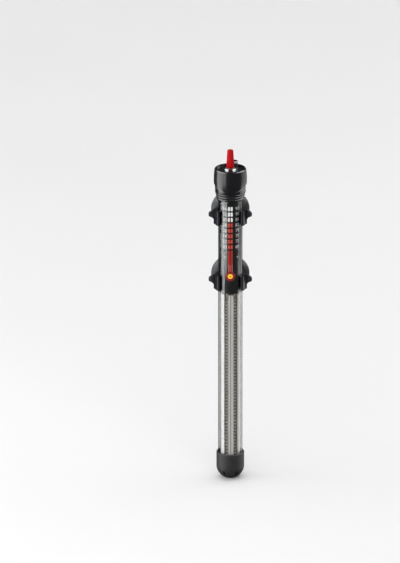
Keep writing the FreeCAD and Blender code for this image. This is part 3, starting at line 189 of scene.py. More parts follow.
class Sock:
    """An output of a node, for writing shader maths as expressions."""

    def __init__(self, paint, socket):
        self.paint = paint
        self.socket = socket

    def output(self, name):
        """Another output of the same node."""
        return Sock(self.paint, self.socket.node.outputs[name])

    def __add__(self, other):
        return self.paint.maths("ADD", self, other)

    __radd__ = __add__

    def __sub__(self, other):
        return self.paint.maths("SUBTRACT", self, other)

    def __rsub__(self, other):
        return self.paint.maths("SUBTRACT", other, self)

    def __mul__(self, other):
        return self.paint.maths("MULTIPLY", self, other)

    __rmul__ = __mul__

    def __truediv__(self, other):
        return self.paint.maths("DIVIDE", self, other)

    def __rtruediv__(self, other):
        return self.paint.maths("DIVIDE", other, self)

    def __pow__(self, other):
        return self.paint.maths("POWER", self, other)

    def __rpow__(self, other):
        return self.paint.maths("POWER", other, self)

    def __abs__(self):
        return self.paint.maths("ABSOLUTE", self)


class Paint:
    """The nodes of one material, worked out from the piece's own coordinates in millimetres."""

    def __init__(self, holder):
        self.holder = holder
        holder.use_nodes = True
        self.nodes = holder.node_tree.nodes
        self.links = holder.node_tree.links
        self.nodes.clear()
        own = self.node("ShaderNodeTexCoord", output="Object")
        self.place = self.node("ShaderNodeVectorMath", {"operation": "SCALE"}, {"Vector": own, "Scale": 1 / MM})
        self.x = self.node("ShaderNodeSeparateXYZ", sockets={"Vector": self.place})
        self.y = self.x.output("Y")
        self.z = self.x.output("Z")

    def node(self, kind, settings=None, sockets=None, output=0):
        """Makes a node, its settings first and then its sockets, and returns one of its outputs."""
        made = self.nodes.new(kind)
        for name, value in (settings or {}).items():
            setattr(made, name, value)
        for name, value in (sockets or {}).items():
            if isinstance(value, Sock):
                self.links.new(value.socket, made.inputs[name])
            elif made.inputs[name].type == "RGBA":
                made.inputs[name].default_value = (*value[:3], 1.0)
            else:
                made.inputs[name].default_value = value
        return Sock(self, made.outputs[output]) if made.outputs else None

    def maths(self, operation, *values):
        """One sum of values and outputs."""
        return self.node("ShaderNodeMath", {"operation": operation}, dict(enumerate(values)))

    def radius(self):
        """Distance from the upright axis."""
        return (self.x * self.x + self.y * self.y) ** 0.5

    def turn(self):
        """Turn about the upright axis, in circles."""
        return self.maths("ARCTAN2", self.y, self.x) / math.tau

    def reach(self, height):
        """Distance from a point of the axis at this height, seen from the front."""
        up = self.z - height
        return (self.x * self.x + up * up) ** 0.5

    def scaled(self, size, stretch, place=None):
        """Coordinates in lumps of this size, stretched along the axes."""
        scale = tuple(1 / (size * share) for share in stretch)
        return self.node("ShaderNodeMapping", sockets={"Vector": place or self.place, "Scale": scale})

    def noise(self, size, stretch=(1, 1, 1), detail=2, place=None):
        """Soft cloud from 0 to 1 with lumps of about this size, stretched along the axes."""
        sockets = {"Vector": self.scaled(size, stretch, place), "Scale": 1.0, "Detail": detail}
        return self.node("ShaderNodeTexNoise", sockets=sockets)

    def patches(self, size, start, end, stretch=(1, 1, 1), detail=4):
        """Soft patches, 1 where a cloud is over the second value and 0 where it is under the first."""
        return self.fade(self.noise(size, stretch, detail), start, end)

    def cells(self, size, feature="F1", stretch=(1, 1, 1)):
        """Distance within cells of about this size."""
        sockets = {"Vector": self.scaled(size, stretch), "Scale": 1.0}
        return self.node("ShaderNodeTexVoronoi", {"feature": feature}, sockets)

    def waves(self, length, pitch):
        """Even waves from 0 to 1 along a length."""
        return self.maths("SINE", length * (math.tau / pitch)) * 0.5 + 0.5

    def fade(self, value, start, end):
        """0 at start, 1 at end and a smooth rise between."""
        return self.node("ShaderNodeMapRange", {"interpolation_type": "SMOOTHSTEP"},
                         {"Value": value, "From Min": start, "From Max": end})

    def band(self, value, start, end, soft):
        """1 between start and end, with soft sides."""
        return self.fade(value, start - soft, start + soft) * (1 - self.fade(value, end - soft, end + soft))

    def mix(self, share, first, second, *more):
        """Second colour over the first by a share, and then each further colour by the share before it."""
        colour = self.node("ShaderNodeMix", {"data_type": "RGBA"}, {0: share, 6: first, 7: second}, output=2)
        return self.mix(more[0], colour, *more[1:]) if more else colour

    def tint(self, colour, share):
        """A colour made darker or lighter by a varying share."""
        grey = self.node("ShaderNodeCombineXYZ", sockets={"X": share, "Y": share, "Z": share})
        return self.node("ShaderNodeMix", {"data_type": "RGBA", "blend_type": "MULTIPLY"},
                         {0: 1.0, 6: colour, 7: grey}, output=2)

    def bump(self, *layers):
        """Relief in layers over each other, each given as a height of 0 to 1 and its depth in millimetres."""
        under = {}
        for height, depth in zip(layers[::2], layers[1::2]):
            sockets = {"Height": height, "Distance": depth * MM, "Strength": 1.0, **under}
            under = {"Normal": self.node("ShaderNodeBump", sockets=sockets)}
        return under["Normal"]

    def plain(self, colour, roughness, relief=None, metallic=0.0, **fixed):
        """Closes the material with one principled shader; fixed values go straight on its sockets."""
        sockets = {"Base Color": colour, "Roughness": roughness, "Metallic": metallic}
        if relief:
            sockets["Normal"] = relief
        sockets.update({name.replace("_", " "): value for name, value in fixed.items()})
        return self.close(self.node("ShaderNodeBsdfPrincipled", sockets=sockets))

    def close(self, shader):
        """Gives the material its output, and returns it."""
        self.node("ShaderNodeOutputMaterial", sockets={"Surface": shader})
        return self.holder


def painted(finish):
    """Starts a finish on a new material, named after the finish unless the call names it."""
    def start(name=finish.__name__, *values, **more):
        return finish(Paint(bpy.data.materials.new(name)), *values, **more)
    return start


def colours():
    """The colours that the user may change."""
    return bpy.context.scene.heater_colours


# Finishes of the outside

@painted
def head_plastic(paint):
    """Satin black moulding: cloudy gloss, fine drag marks, dull valleys between the ridges and a painted highlight on
    its rubbed curved edge.
    """
    skirt = low("head_cover").z
    radius = paint.radius()
    cloud = paint.noise(9.0, detail=3)
    drag = paint.noise(1.0, (6, 6, 0.12), detail=1)
    ridged = 1 - paint.fade(paint.z, skirt + RIDGE_PITCH * 3 - 0.2, skirt + RIDGE_PITCH * 3 + 0.2)
    ridged = ridged * paint.fade(radius, *RIDGE_RADIUS)
    ridge = paint.waves(paint.z - (skirt + RIDGE_PITCH / 4), RIDGE_PITCH)
    valley = (1 - paint.fade(ridge, 0.3, 0.7)) * ridged
    # the curved edge is part of a circle seen from the front, and below counts outwards from it
    below = paint.reach(skirt + SMILE_LOW + SMILE_RADIUS) - SMILE_RADIUS
    # painted highlight: the rubbed curved edge is painted pale, most towards the sides, to stand in for the light that
    # catches it
    lip_highlight = paint.band(below, 0.05, 0.6, 0.2) * (1 - ridged) * paint.fade(radius, *BARREL_RADIUS)
    lip_highlight = lip_highlight * paint.fade(abs(paint.x), 4.0, 9.0) * (0.6 + cloud * 0.6)
    worn = paint.patches(2.2, 0.6, 0.72, (1, 1, 0.4)) * paint.fade(ridge, 0.85, 1.0) * ridged
    colour = paint.mix(cloud * 0.6, colours().head_black, (0.011, 0.011, 0.013), worn * 0.5, (0.045, 0.045, 0.05),
                       lip_highlight * 0.9, (0.15, 0.152, 0.165))
    roughness = 0.18 + cloud * 0.07 + drag * 0.04 + worn * 0.15 + valley * 0.5 - (ridged - valley) * 0.07
    relief = paint.bump(paint.noise(0.16), 0.006, drag, 0.008, paint.band(paint.y, *PARTING), 0.04,
                        paint.fade(below, 0.0, 1.0) * (1 - ridged), 0.6)
    return paint.plain(colour, roughness, relief, Specular_IOR_Level=0.5, Coat_Weight=0.2, Coat_Roughness=0.08)


@painted
def foot_plastic(paint):
    """Matt black moulding with an eroded grain, rubbed paler on its round end."""
    grain = paint.cells(0.35)
    cloud = paint.noise(6.0, detail=3)
    rubbed = paint.patches(1.6, 0.55, 0.75) * (1 - paint.fade(paint.z, 1.0, 9.0))
    colour = paint.mix(cloud * 0.6, colours().foot_black, (0.022, 0.022, 0.025), rubbed * 0.5, (0.055, 0.055, 0.058))
    relief = paint.bump(grain, 0.018, paint.band(paint.y, *PARTING), 0.05)
    return paint.plain(colour, 0.46 + cloud * 0.12 + grain * 0.08, relief, Specular_IOR_Level=0.4)


@painted
def clip_plastic(paint, height):
    """Black moulding of a sprung clip: gloss with flow clouds, and rubbed corners and worn ears painted paler, which is
    wear and also a painted highlight on their edges.
    """
    flow = paint.noise(3.5, (1, 1, 2), detail=3)
    # rubbed corners: wear, painted paler also to stand in for the highlights on the clip's top and bottom edges
    rubbed = paint.patches(1.2, 0.6, 0.78) * paint.fade(abs(paint.z - height), *CORNER_REACH)
    # worn ears: wear, painted paler also to stand in for the highlights that the ears catch
    pressed_and_highlight = paint.fade(abs(paint.x), *EAR_REACH) * paint.patches(1.6, 0.35, 0.65)
    colour = paint.mix(flow * 0.8, colours().clip_black, (0.014, 0.014, 0.018), rubbed * 0.6, (0.085, 0.085, 0.092),
                       pressed_and_highlight * 0.6, (0.075, 0.076, 0.084))
    roughness = 0.22 + flow * 0.1 + rubbed * 0.12 - pressed_and_highlight * 0.06
    return paint.plain(colour, roughness, paint.bump(paint.noise(0.14), 0.006, flow, 0.08), Specular_IOR_Level=0.3)


@painted
def cup_rubber(paint, height):
    """Soft black rubber with turned rings from its mould and a chalky bloom in patches."""
    rings = paint.waves(paint.reach(height), 0.9)
    bloom = paint.patches(3.0, 0.5, 0.8)
    grain = paint.noise(0.2)
    colour = paint.mix(bloom * 0.45, colours().cup_black, (0.055, 0.056, 0.066))
    return paint.plain(colour, 0.34 + bloom * 0.22 + grain * 0.05, paint.bump(rings, 0.02, grain, 0.008),
                       Specular_IOR_Level=0.32, Sheen_Weight=0.06, Sheen_Roughness=0.5)


@painted
def knob_plastic(paint):
    """Red moulding, cloudy, smoother where fingers polish it and darker towards its foot."""
    cloud = paint.noise(2.5, detail=3)
    foot = 1 - paint.fade(paint.z, low("adjusting_knob").z, low("adjusting_knob").z + 4.0)
    polished = paint.patches(0.9, 0.5, 0.7, (1, 1, 4), 3)
    colour = paint.mix(cloud * 0.5, colours().knob_red, (0.34, 0.006, 0.01), foot * 0.35, (0.25, 0.004, 0.01))
    return paint.plain(colour, 0.46 + (cloud - polished) * 0.12, paint.bump(paint.noise(0.12), 0.008),
                       Specular_IOR_Level=0.04, Subsurface_Weight=0.08, Subsurface_Radius=(0.6, 0.1, 0.1),
                       Subsurface_Scale=MM)


@painted
def collar_steel(paint):
    """Polished ring with turning marks round its axis."""
    round_axis = paint.node("ShaderNodeCombineXYZ", sockets={"X": paint.radius(), "Y": paint.turn() * 2.0})
    marks = paint.noise(0.05, place=round_axis)
    smear = paint.noise(1.5, detail=3)
    colour = paint.mix(smear, (0.56, 0.57, 0.6), (0.46, 0.47, 0.5))
    return paint.plain(colour, 0.1 + marks * 0.1 + smear * 0.06, paint.bump(marks, 0.003), 1.0)


@painted
def gland_plastic(paint):
    """Satin black moulding with drawn streaks and grey dust."""
    streaks = paint.noise(0.6, (1, 1, 8))
    dust = paint.patches(0.8, 0.5, 0.75)
    colour = paint.mix(streaks, colours().head_black, (0.012, 0.012, 0.014), dust * 0.3, (0.05, 0.05, 0.055))
    return paint.plain(colour, 0.3 + dust * 0.2, paint.bump(paint.noise(0.15), 0.01))


@painted
def bush_plastic(paint):
    """Pale grey sleeve, streaked round and dulled in patches."""
    streaks = paint.noise(0.25, (6, 6, 1))
    dull = paint.patches(0.8, 0.45, 0.75)
    colour = paint.mix(streaks * 0.6, colours().bush_grey, (0.44, 0.44, 0.49), dull * 0.25, (0.25, 0.25, 0.27))
    return paint.plain(colour, 0.3 + dull * 0.2, paint.bump(paint.noise(0.15), 0.01))


@painted
def tube_glass(paint):
    """Clear thin-walled glass with faint wiping marks: it mirrors more where it turns away, and there it carries
    painted shade that stands in for what the bent light would show.
    """
    facing = paint.node("ShaderNodeLayerWeight", sockets={"Blend": 0.5}, output="Facing")
    wiped = paint.patches(14.0, 0.3, 0.7, (1, 1, 3), 3)
    mirror = 0.036 + wiped * 0.008 + facing ** 5 * 0.956
    # painted shade at the turned-away wall stands in for refraction: dark beside the scale, where the card would show,
    # and weaker beside the bar, where the pale ceramic would
    beside_card = paint.fade(paint.z, low("scale_card").z - 1.0, low("scale_card").z + 1.0)
    wall = paint.fade(facing, 0.4, 0.56) * beside_card + paint.fade(facing, 0.56, 0.68) * (1 - beside_card) * 0.85
    clear = paint.node("ShaderNodeBsdfTransparent", sockets={"Color": (0.985, 0.99, 0.988)})
    # painted shade: the dark tint that the turned-away wall takes
    edge = paint.node("ShaderNodeBsdfTransparent", sockets={"Color": (0.32, 0.35, 0.35)})
    body = paint.node("ShaderNodeMixShader", sockets={0: wall, 1: clear, 2: edge})
    gloss = paint.node("ShaderNodeBsdfGlossy", sockets={"Color": (1, 1, 1), "Roughness": 0.02})
    return paint.close(paint.node("ShaderNodeMixShader", sockets={0: mirror, 1: body, 2: gloss}))


# Finishes behind the glass

@painted
def card_ink(paint):
    """Black printed film: slight ink mottling and a faint weave of fine screen dots."""
    mottle = paint.noise(1.2, detail=4)
    screen = paint.waves(paint.turn() * (math.tau * CARD_RADIUS), 0.35) * paint.waves(paint.z, 0.35)
    colour = paint.mix(mottle, colours().card_black, (0.01, 0.01, 0.011))
    return paint.plain(colour, 0.4 + mottle * 0.15, paint.bump(screen, 0.006), Specular_IOR_Level=0.3)


@painted
def scale_print(paint):
    """Pale screen print, thinner in small patches."""
    thin = paint.patches(0.35, 0.45, 0.75, detail=3)
    colour = paint.mix(thin * 0.35, colours().print_pale, (0.3, 0.3, 0.31))
    return paint.plain(colour, 0.5 + thin * 0.2, paint.bump(paint.noise(0.2), 0.01))


@painted
def backing_plastic(paint):
    """White moulding with faint flow lines. It glows with painted light, and a painted pool of the lamp's warm light
    lies near the lamp.
    """
    flow = paint.noise(4.0, (0.4, 0.4, 3), detail=3)
    # painted light: a warm pool of the lamp's light, painted into the colour
    lamp_light_pool = 1 - paint.fade(abs(paint.z - LAMP_HEIGHT), 4.0, 22.0)
    colour = paint.mix(flow * 0.5, colours().backing_white, (0.78, 0.78, 0.77), lamp_light_pool * 0.5, (0.8, 0.66, 0.42))
    # painted light: the backing glows by itself, though it is no lamp
    return paint.plain(colour, 0.42 + flow * 0.1, paint.bump(paint.noise(0.2), 0.006), Emission_Color=colour,
                       Emission_Strength=0.56)


@painted
def slider_plastic(paint):
    """Red slider, streaked along its travel where it rubs on the card, and glowing with painted light."""
    streaks = paint.noise(0.5, (1, 1, 20), detail=3)
    cloud = paint.noise(4.0)
    colour = paint.mix(cloud * 0.6, colours().slider_red, (0.46, 0.018, 0.02),
                       paint.fade(streaks, 0.55, 0.8) * 0.3, (0.7, 0.1, 0.08))
    # painted light: the slider glows by itself, though it is no lamp
    return paint.plain(colour, 0.36 + streaks * 0.15, paint.bump(streaks, 0.01), Emission_Color=colour,
                       Emission_Strength=0.34)


@painted
def guide_plastic(paint):
    """Red light guide, lit from the lamp along its stems' outer sides and darker round the eye."""
    away = paint.reach(LAMP_HEIGHT)
    sides = paint.fade(abs(paint.x), 1.1, 2.1)
    cloud = paint.noise(1.5, detail=3)
    ring = 1 - paint.fade(away, LENS_RADIUS + 2.2, LENS_RADIUS + 3.4)
    colour = paint.mix(sides, (0.26, 0.012, 0.01), colours().guide_red, ring, (0.25, 0.015, 0.016))
    lit = 0.08 + (sides * 0.44 + cloud * 0.02) * (1 - ring) - ring * 0.03
    glow = paint.tint((1.0, 0.12, 0.08), lit)
    return paint.plain(colour, 0.32 + cloud * 0.12, paint.bump(cloud, 0.02), Specular_IOR_Level=0.2,
                       Emission_Color=glow, Emission_Strength=1)


@painted
def lens_amber(paint):
    """Amber lens over the burning lamp: yellow with a dark orange heart and fine rings."""
    away = paint.reach(LAMP_HEIGHT)
    heart = 1 - paint.fade(away, 0.8, 1.5)
    rim = paint.fade(away, LENS_RADIUS - 0.6, LENS_RADIUS)
    ribs = paint.waves(away, 0.42)
    glow = paint.mix(heart, (1.0, 0.7, 0.06), (0.36, 0.11, 0.001), rim * 0.2, (0.5, 0.14, 0.01))
    return paint.plain((0.3, 0.16, 0.004), 0.15 + ribs * 0.08, paint.bump(ribs, 0.03), Emission_Color=glow,
                       Emission_Strength=0.9)


@painted
def lamp_glass(paint):
    """Thin bulb filled with an amber glow that is strongest behind the eye."""
    burning = 1 - paint.fade(abs(paint.z - LAMP_HEIGHT), 1.0, 6.5)
    film = paint.noise(1.2, detail=3)
    glow = paint.mix(burning, (0.1, 0.02, 0.0), colours().glow_amber)
    colour = paint.mix(film, (0.8, 0.66, 0.46), (0.62, 0.46, 0.26))
    return paint.plain(colour, 0.05 + film * 0.05, paint.bump(film, 0.01), Alpha=0.25 + burning * 0.5 + film * 0.08,
                       Emission_Color=glow, Emission_Strength=1)


@painted
def fired_ceramic(paint, grooved=False):
    """Extruded and fired body: drawn lines along it and open pores. Its grooves carry painted shade, deepest on the
    front, and the front has a darker line down it.
    """
    lines = paint.noise(0.5, (1, 1, 40), detail=3)
    pores = paint.fade(paint.cells(0.45), 0.1, 0.22)
    cloud = paint.noise(7.0, (1, 1, 2), detail=4)
    colour = paint.mix(cloud, colours().fired_grey, (0.47, 0.455, 0.43), (1 - pores) * 0.45, (0.26, 0.24, 0.22))
    if grooved:
        # painted shade: the grooves are darker where shade falls between the wire and their walls, and darker still on
        # the front
        inside = 1 - paint.fade(paint.radius(), *GROOVE_RADIUS)
        front = 1 - paint.fade(paint.y, *BAR_FRONT)
        # a darker line down the middle of the bar's front
        front_dark_line = paint.band(paint.x, -0.3, 0.9, 0.4) * front
        colour = paint.mix(front_dark_line * 0.75, colour, (0.14, 0.12, 0.11), inside * 0.45, (0.2, 0.18, 0.16),
                           inside * front * (0.7 + cloud * 0.2), (0.115, 0.1, 0.09))
    return paint.plain(colour, 0.62 + lines * 0.15, paint.bump(lines, 0.03, pores, 0.03))


@painted
def resistance_wire(paint):
    """Drawn resistance wire under a grey oxide, with straw and blue heat tints."""
    scale = paint.noise(0.5, detail=4)
    heat = paint.noise(9.0, (1, 1, 1.5))
    colour = paint.mix(scale, (0.56, 0.55, 0.52), (0.42, 0.41, 0.39), paint.fade(heat, 0.5, 0.62) * 0.5,
                       (0.38, 0.28, 0.16), paint.fade(heat, 0.6, 0.72) * 0.5, (0.18, 0.2, 0.28))
    return paint.plain(colour, 0.4 + scale * 0.2, paint.bump(scale, 0.008), 0.35)


@painted
def split_mica(paint):
    """Mica sheet: flakes of pale and darker amber with dark cracks between them."""
    flakes = paint.cells(2.6, stretch=(1, 1, 0.3)).output("Color")
    tone = paint.node("ShaderNodeSeparateColor", sockets={"Color": flakes})
    cracks = paint.fade(paint.cells(2.6, "DISTANCE_TO_EDGE", (1, 1, 0.3)), 0.0, 0.06)
    colour = paint.mix(tone, (0.42, 0.34, 0.22), (0.58, 0.52, 0.42), (1 - cracks) * 0.5, (0.22, 0.17, 0.1))
    return paint.plain(colour, 0.22 + tone * 0.3, paint.bump(cracks, 0.03), 0.25)


@painted
def fibre_wool(paint):
    """Glass-fibre pad: matted strands in two lays."""
    lay = paint.noise(0.22, (8, 8, 0.8), detail=3)
    cross = paint.noise(0.22, (1, 5, 3), detail=3)
    colour = paint.mix(lay, (0.86, 0.86, 0.84), (0.7, 0.7, 0.68), cross * 0.4, (0.62, 0.62, 0.6))
    relief = paint.bump(paint.noise(2.0, detail=4), 0.5, lay, 0.12, cross, 0.1)
    return paint.plain(colour, 0.9, relief, Sheen_Weight=0.3)


@painted
def turned_metal(paint, light, dark, rust=0.0):
    """Lathe-turned metal: fine rings along its axis, a cloudy handled surface and some rust."""
    rings = paint.noise(0.08, (40, 40, 1), detail=1)
    cloud = paint.noise(3.0, detail=4)
    colour = paint.mix(cloud, light, dark)
    if rust:
        colour = paint.mix(paint.fade(cloud, 0.6, 0.7) * rust, colour, (0.2, 0.09, 0.03))
    return paint.plain(colour, 0.24 + cloud * 0.2 + rings * 0.05, paint.bump(rings, 0.01), 1.0)


@painted
def rolled_metal(paint, light, dark):
    """Rolled strip: fine lines along the roll and dull patches."""
    lines = paint.noise(0.12, (1, 1, 30))
    dull = paint.patches(2.4, 0.45, 0.7)
    colour = paint.mix(dull, light, dark)
    return paint.plain(colour, 0.2 + lines * 0.12 + dull * 0.22, paint.bump(lines, 0.006), 1.0)


@painted
def two_metals(paint):
    """Bonded strip: dull nickel iron outside and a brassy layer inside, split half way through."""
    middle = centre("bimetal_blade").y
    lines = paint.noise(0.12, (1, 1, 30))
    colour = paint.mix(paint.fade(paint.y, middle - 0.02, middle + 0.02), (0.46, 0.33, 0.2), (0.42, 0.42, 0.43))
    colour = paint.tint(colour, 0.8 + lines * 0.3)
    return paint.plain(colour, 0.28 + lines * 0.18, paint.bump(lines, 0.006), 1.0)


@painted
def contact_silver(paint, height):
    """Silver contact: bright rim and a sooty spot where it sparks."""
    spot = (1 - paint.fade(paint.reach(height), 0.2, 0.9)) * paint.noise(0.3, detail=4)
    colour = paint.mix(spot, (0.78, 0.76, 0.72), (0.12, 0.11, 0.1))
    return paint.plain(colour, 0.18 + spot * 0.5, paint.bump(spot, 0.02), 1.0)


@painted
def magnet_ferrite(paint):
    """Pressed magnet: dark and grainy, with pale chips."""
    grains = paint.cells(0.22)
    chips = paint.patches(0.5, 0.64, 0.72)
    colour = paint.mix(grains, (0.045, 0.045, 0.048), (0.1, 0.1, 0.105), chips * 0.6, (0.22, 0.22, 0.22))
    return paint.plain(colour, 0.45 + grains * 0.2, paint.bump(grains, 0.02), 0.6)


@painted
def laminate_board(paint):
    """Pressed laminate: cloth weave under resin on its faces, layers showing at its edges."""
    weave = paint.waves(paint.x, 0.55) * paint.waves(paint.z, 0.55)
    layers = paint.waves(paint.y, 0.3)
    cloud = paint.noise(8.0, detail=3)
    colour = paint.mix(cloud, colours().board_brown, (0.28, 0.16, 0.075), weave * 0.4, (0.36, 0.22, 0.11),
                       layers * 0.15, (0.1, 0.05, 0.02))
    return paint.plain(colour, 0.34 + weave * 0.15 + cloud * 0.1, paint.bump(weave, 0.012))


@painted
def slider_nylon(paint):
    """Off-white nylon, slightly see-through at its thin parts, with a grease smear on the thread."""
    cloud = paint.noise(2.0, detail=3)
    grease = (1 - paint.fade(paint.radius(), *THREAD_RADIUS)) * paint.fade(cloud, 0.4, 0.6)
    colour = paint.mix(cloud, (0.76, 0.74, 0.68), (0.68, 0.66, 0.59), grease * 0.5, (0.4, 0.34, 0.22))
    return paint.plain(colour, 0.38 - grease * 0.2, paint.bump(paint.noise(0.2), 0.008), Subsurface_Weight=0.1,
                       Subsurface_Scale=MM)


@painted
def bung_rubber(paint):
    """Black rubber with talc left in its pores."""
    talc = paint.patches(0.5, 0.58, 0.72)
    cloud = paint.noise(4.0, detail=3)
    colour = paint.mix(talc * 0.3, (0.016, 0.016, 0.017), (0.12, 0.12, 0.12))
    return paint.plain(colour, 0.52 + cloud * 0.15 + talc * 0.15, paint.bump(paint.noise(0.25), 0.02))


@painted
def wire_sleeve(paint, colour, other):
    """Extruded plastic sleeve with a slight orange-peel and scuffs."""
    scuffs = paint.patches(1.0, 0.6, 0.75)
    mixed = paint.mix(scuffs * 0.5, colour, other)
    return paint.plain(mixed, 0.28 + scuffs * 0.25, paint.bump(paint.noise(0.3), 0.012))


@painted
def braided_sleeve(paint):
    """White glass braid: two crossing lays of strands, a few of them scorched."""
    first = paint.waves(paint.x + paint.y + paint.z, 0.42)
    second = paint.waves(paint.x + paint.y - paint.z, 0.42)
    scorched = paint.patches(2.5, 0.52, 0.72, detail=3) * (1 - paint.fade(paint.z, *HOT_ENDS))
    colour = paint.mix(first * second, (0.52, 0.5, 0.46), (0.8, 0.78, 0.73), scorched * 0.6, (0.36, 0.28, 0.18))
    return paint.plain(colour, 0.75, paint.bump(paint.maths("MAXIMUM", first, second), 0.06))


@painted
def solder_tin(paint):
    """Hand-made solder: bright, wrinkled where it froze, with a smear of flux."""
    wrinkles = paint.noise(0.35, detail=4)
    flux = paint.patches(1.1, 0.55, 0.7, detail=3)
    colour = paint.mix(wrinkles * 0.6, colours().solder_grey, (0.42, 0.42, 0.43), flux * 0.5, (0.3, 0.19, 0.07))
    return paint.plain(colour, 0.22 + wrinkles * 0.2, paint.bump(wrinkles, 0.05), 1 - flux * 0.6)


@painted
def lamp_nickel(paint):
    """Nickel rods in the lamp, with an orange glow along the gas."""
    burning = 1 - paint.fade(abs(paint.z - LAMP_HEIGHT), 1.5, 4.5)
    film = paint.noise(0.4, (1, 1, 3), detail=3)
    colour = paint.mix(film, (0.46, 0.44, 0.42), (0.3, 0.27, 0.24))
    glow = paint.tint((1.0, 0.36, 0.04), burning * (0.5 + film * 0.3))
    return paint.plain(colour, 0.32 + film * 0.2, paint.bump(film, 0.01), 0.8, Emission_Color=glow,
                       Emission_Strength=1)


@painted
def banded_resistor(paint):
    """Beige film body with four colour bands."""
    foot = low("lamp_resistor").z
    length = high("lamp_resistor").z - foot
    colour = paint.mix(paint.noise(0.8), (0.62, 0.5, 0.33), (0.54, 0.42, 0.27))
    for share, band in ((0.3, (0.3, 0.1, 0.02)), (0.42, (0.01, 0.01, 0.01)), (0.54, (0.75, 0.45, 0.02)),
                        (0.7, (0.55, 0.36, 0.1))):
        here = paint.band(paint.z, foot + length * share, foot + length * (share + 0.06), 0.04)
        colour = paint.mix(here, colour, band)
    return paint.plain(colour, 0.35 + paint.noise(0.4) * 0.15, paint.bump(paint.noise(0.3), 0.015))


@painted
def dipped_capacitor(paint):
    """Dipped resin in brick orange with sags and small pits."""
    sag = paint.noise(1.6, (1, 1, 2), detail=3)
    pits = paint.fade(paint.cells(0.6), 0.05, 0.18)
    colour = paint.mix(sag, (0.48, 0.13, 0.03), (0.36, 0.085, 0.02))
    return paint.plain(colour, 0.22 + sag * 0.15, paint.bump(sag, 0.12, pits, 0.03))


# Fitting finishes and pieces

def dress(**finishes):
    """Gives CAD nodes their finishes."""
    for node, material in finishes.items():
        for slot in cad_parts[node].material_slots:
            slot.material = material


def add_object(name, data):
    """Puts a new object in the scene."""
    made = bpy.data.objects.new(name, data)
    bpy.context.scene.collection.objects.link(made)
    return made


def as_mesh(name, shape):
    """Turns a finished shape into a mesh."""
    mesh = bpy.data.meshes.new(name)
    shape.to_mesh(mesh)
    shape.free()
    return mesh


def keep(name, shape, material, body):
    """Makes a finished shape a piece that rides on a body."""
    piece = add_object(name, as_mesh(name, shape))
    piece.data.materials.append(material)
    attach(piece, body)


def join(shape, part):
    """Adds a finished part to a shape."""
    mesh = as_mesh("part", part)
    shape.from_mesh(mesh)
    bpy.data.meshes.remove(mesh)


def keep_turned(name, profile, spots, material, body="heater", lean=0.0, steps=24):
    """Makes a piece of full turns of one profile of (radius, height) in millimetres, one at each spot, leaning from
    upright about the X axis."""
    shape = bmesh.new()
    for spot in spots:
        part = bmesh.new()
        corners = [part.verts.new((radius * MM, 0, height * MM)) for radius, height in profile]
        edges = [part.edges.new(pair) for pair in zip(corners, corners[1:])]
        bmesh.ops.spin(part, geom=corners + edges, cent=(0, 0, 0), axis=(0, 0, 1), angle=math.tau, steps=steps,
                       use_merge=True)
        bmesh.ops.remove_doubles(part, verts=part.verts, dist=1e-6)
        bmesh.ops.recalc_face_normals(part, faces=part.faces)
        bmesh.ops.rotate(part, verts=part.verts, cent=(0, 0, 0), matrix=Matrix.Rotation(lean, 3, "X"))
        bmesh.ops.translate(part, verts=part.verts, vec=Vector(spot) * MM)
        for face in part.faces:
            face.smooth = True
        join(shape, part)
    keep(name, shape, material, body)


def printed_words(shape, words, size, angle, height, lift):
    """Adds one line of print to the card, bent round it with its middle at this angle and height."""
    curve = bpy.data.curves.new("print", "FONT")
    curve.body = words
    curve.size = size
    curve.align_x = "CENTER"
    curve.align_y = "CENTER"
    writer = bpy.data.objects.new("print", curve)
    flat = bpy.data.meshes.new_from_object(writer)
    line = bmesh.new()
    line.from_mesh(flat)
    bpy.data.objects.remove(writer)
    bpy.data.curves.remove(curve)
    bpy.data.meshes.remove(flat)
    reach = size * len(words)
    strips = 16
    for step in range(1, strips):
        cut = reach * (step / strips - 0.5)
        bmesh.ops.bisect_plane(line, geom=line.verts[:] + line.edges[:] + line.faces[:], plane_co=(cut, 0, 0),
                               plane_no=(1, 0, 0))
    bmesh.ops.solidify(line, geom=line.faces[:], thickness=lift)
    for vertex in line.verts:
        radius = CARD_RADIUS * MM + lift + vertex.co.z
        turn = angle + vertex.co.x / radius
        vertex.co = Vector((math.sin(turn) * radius, -math.cos(turn) * radius, height + vertex.co.y))
    bmesh.ops.recalc_face_normals(line, faces=line.faces)
    join(shape, line)


# Operators, one for each group of pieces

class HEATER_OT_tube(bpy.types.Operator):
    """Glass tube"""
    bl_idname = "heater.tube"
    bl_label = "Tube"

    def execute(self, context):
        dress(glass_tube=tube_glass())
        return {"FINISHED"}


class HEATER_OT_head(bpy.types.Operator):
    """Head cover, bung, seal, collar and gland"""
    bl_idname = "heater.head"
    bl_label = "Head"

    def execute(self, context):
        dress(head_cover=head_plastic(), head_bung=bung_rubber("head_bung_rubber"),
              spindle_seal=bung_rubber("seal_rubber"), knob_collar=collar_steel(), cable_gland=gland_plastic())
        gland = centre("cable_gland")
        keep_turned("gland_bush", BUSH_PROFILE, [(gland.x, gland.y, high("cable_gland").z - BUSH_DROP)],
                    bush_plastic(), steps=48)
        return {"FINISHED"}


class HEATER_OT_setting(bpy.types.Operator):
    """Knob, spindle and its clip"""
    bl_idname = "heater.setting"
    bl_label = "Setting"

    def execute(self, context):
        dress(adjusting_knob=knob_plastic(),
              spindle=turned_metal("spindle_brass", (0.66, 0.49, 0.22), (0.5, 0.34, 0.14)),
              spindle_circlip=rolled_metal("circlip_steel", (0.42, 0.42, 0.44), (0.25, 0.25, 0.26)))
        return {"FINISHED"}


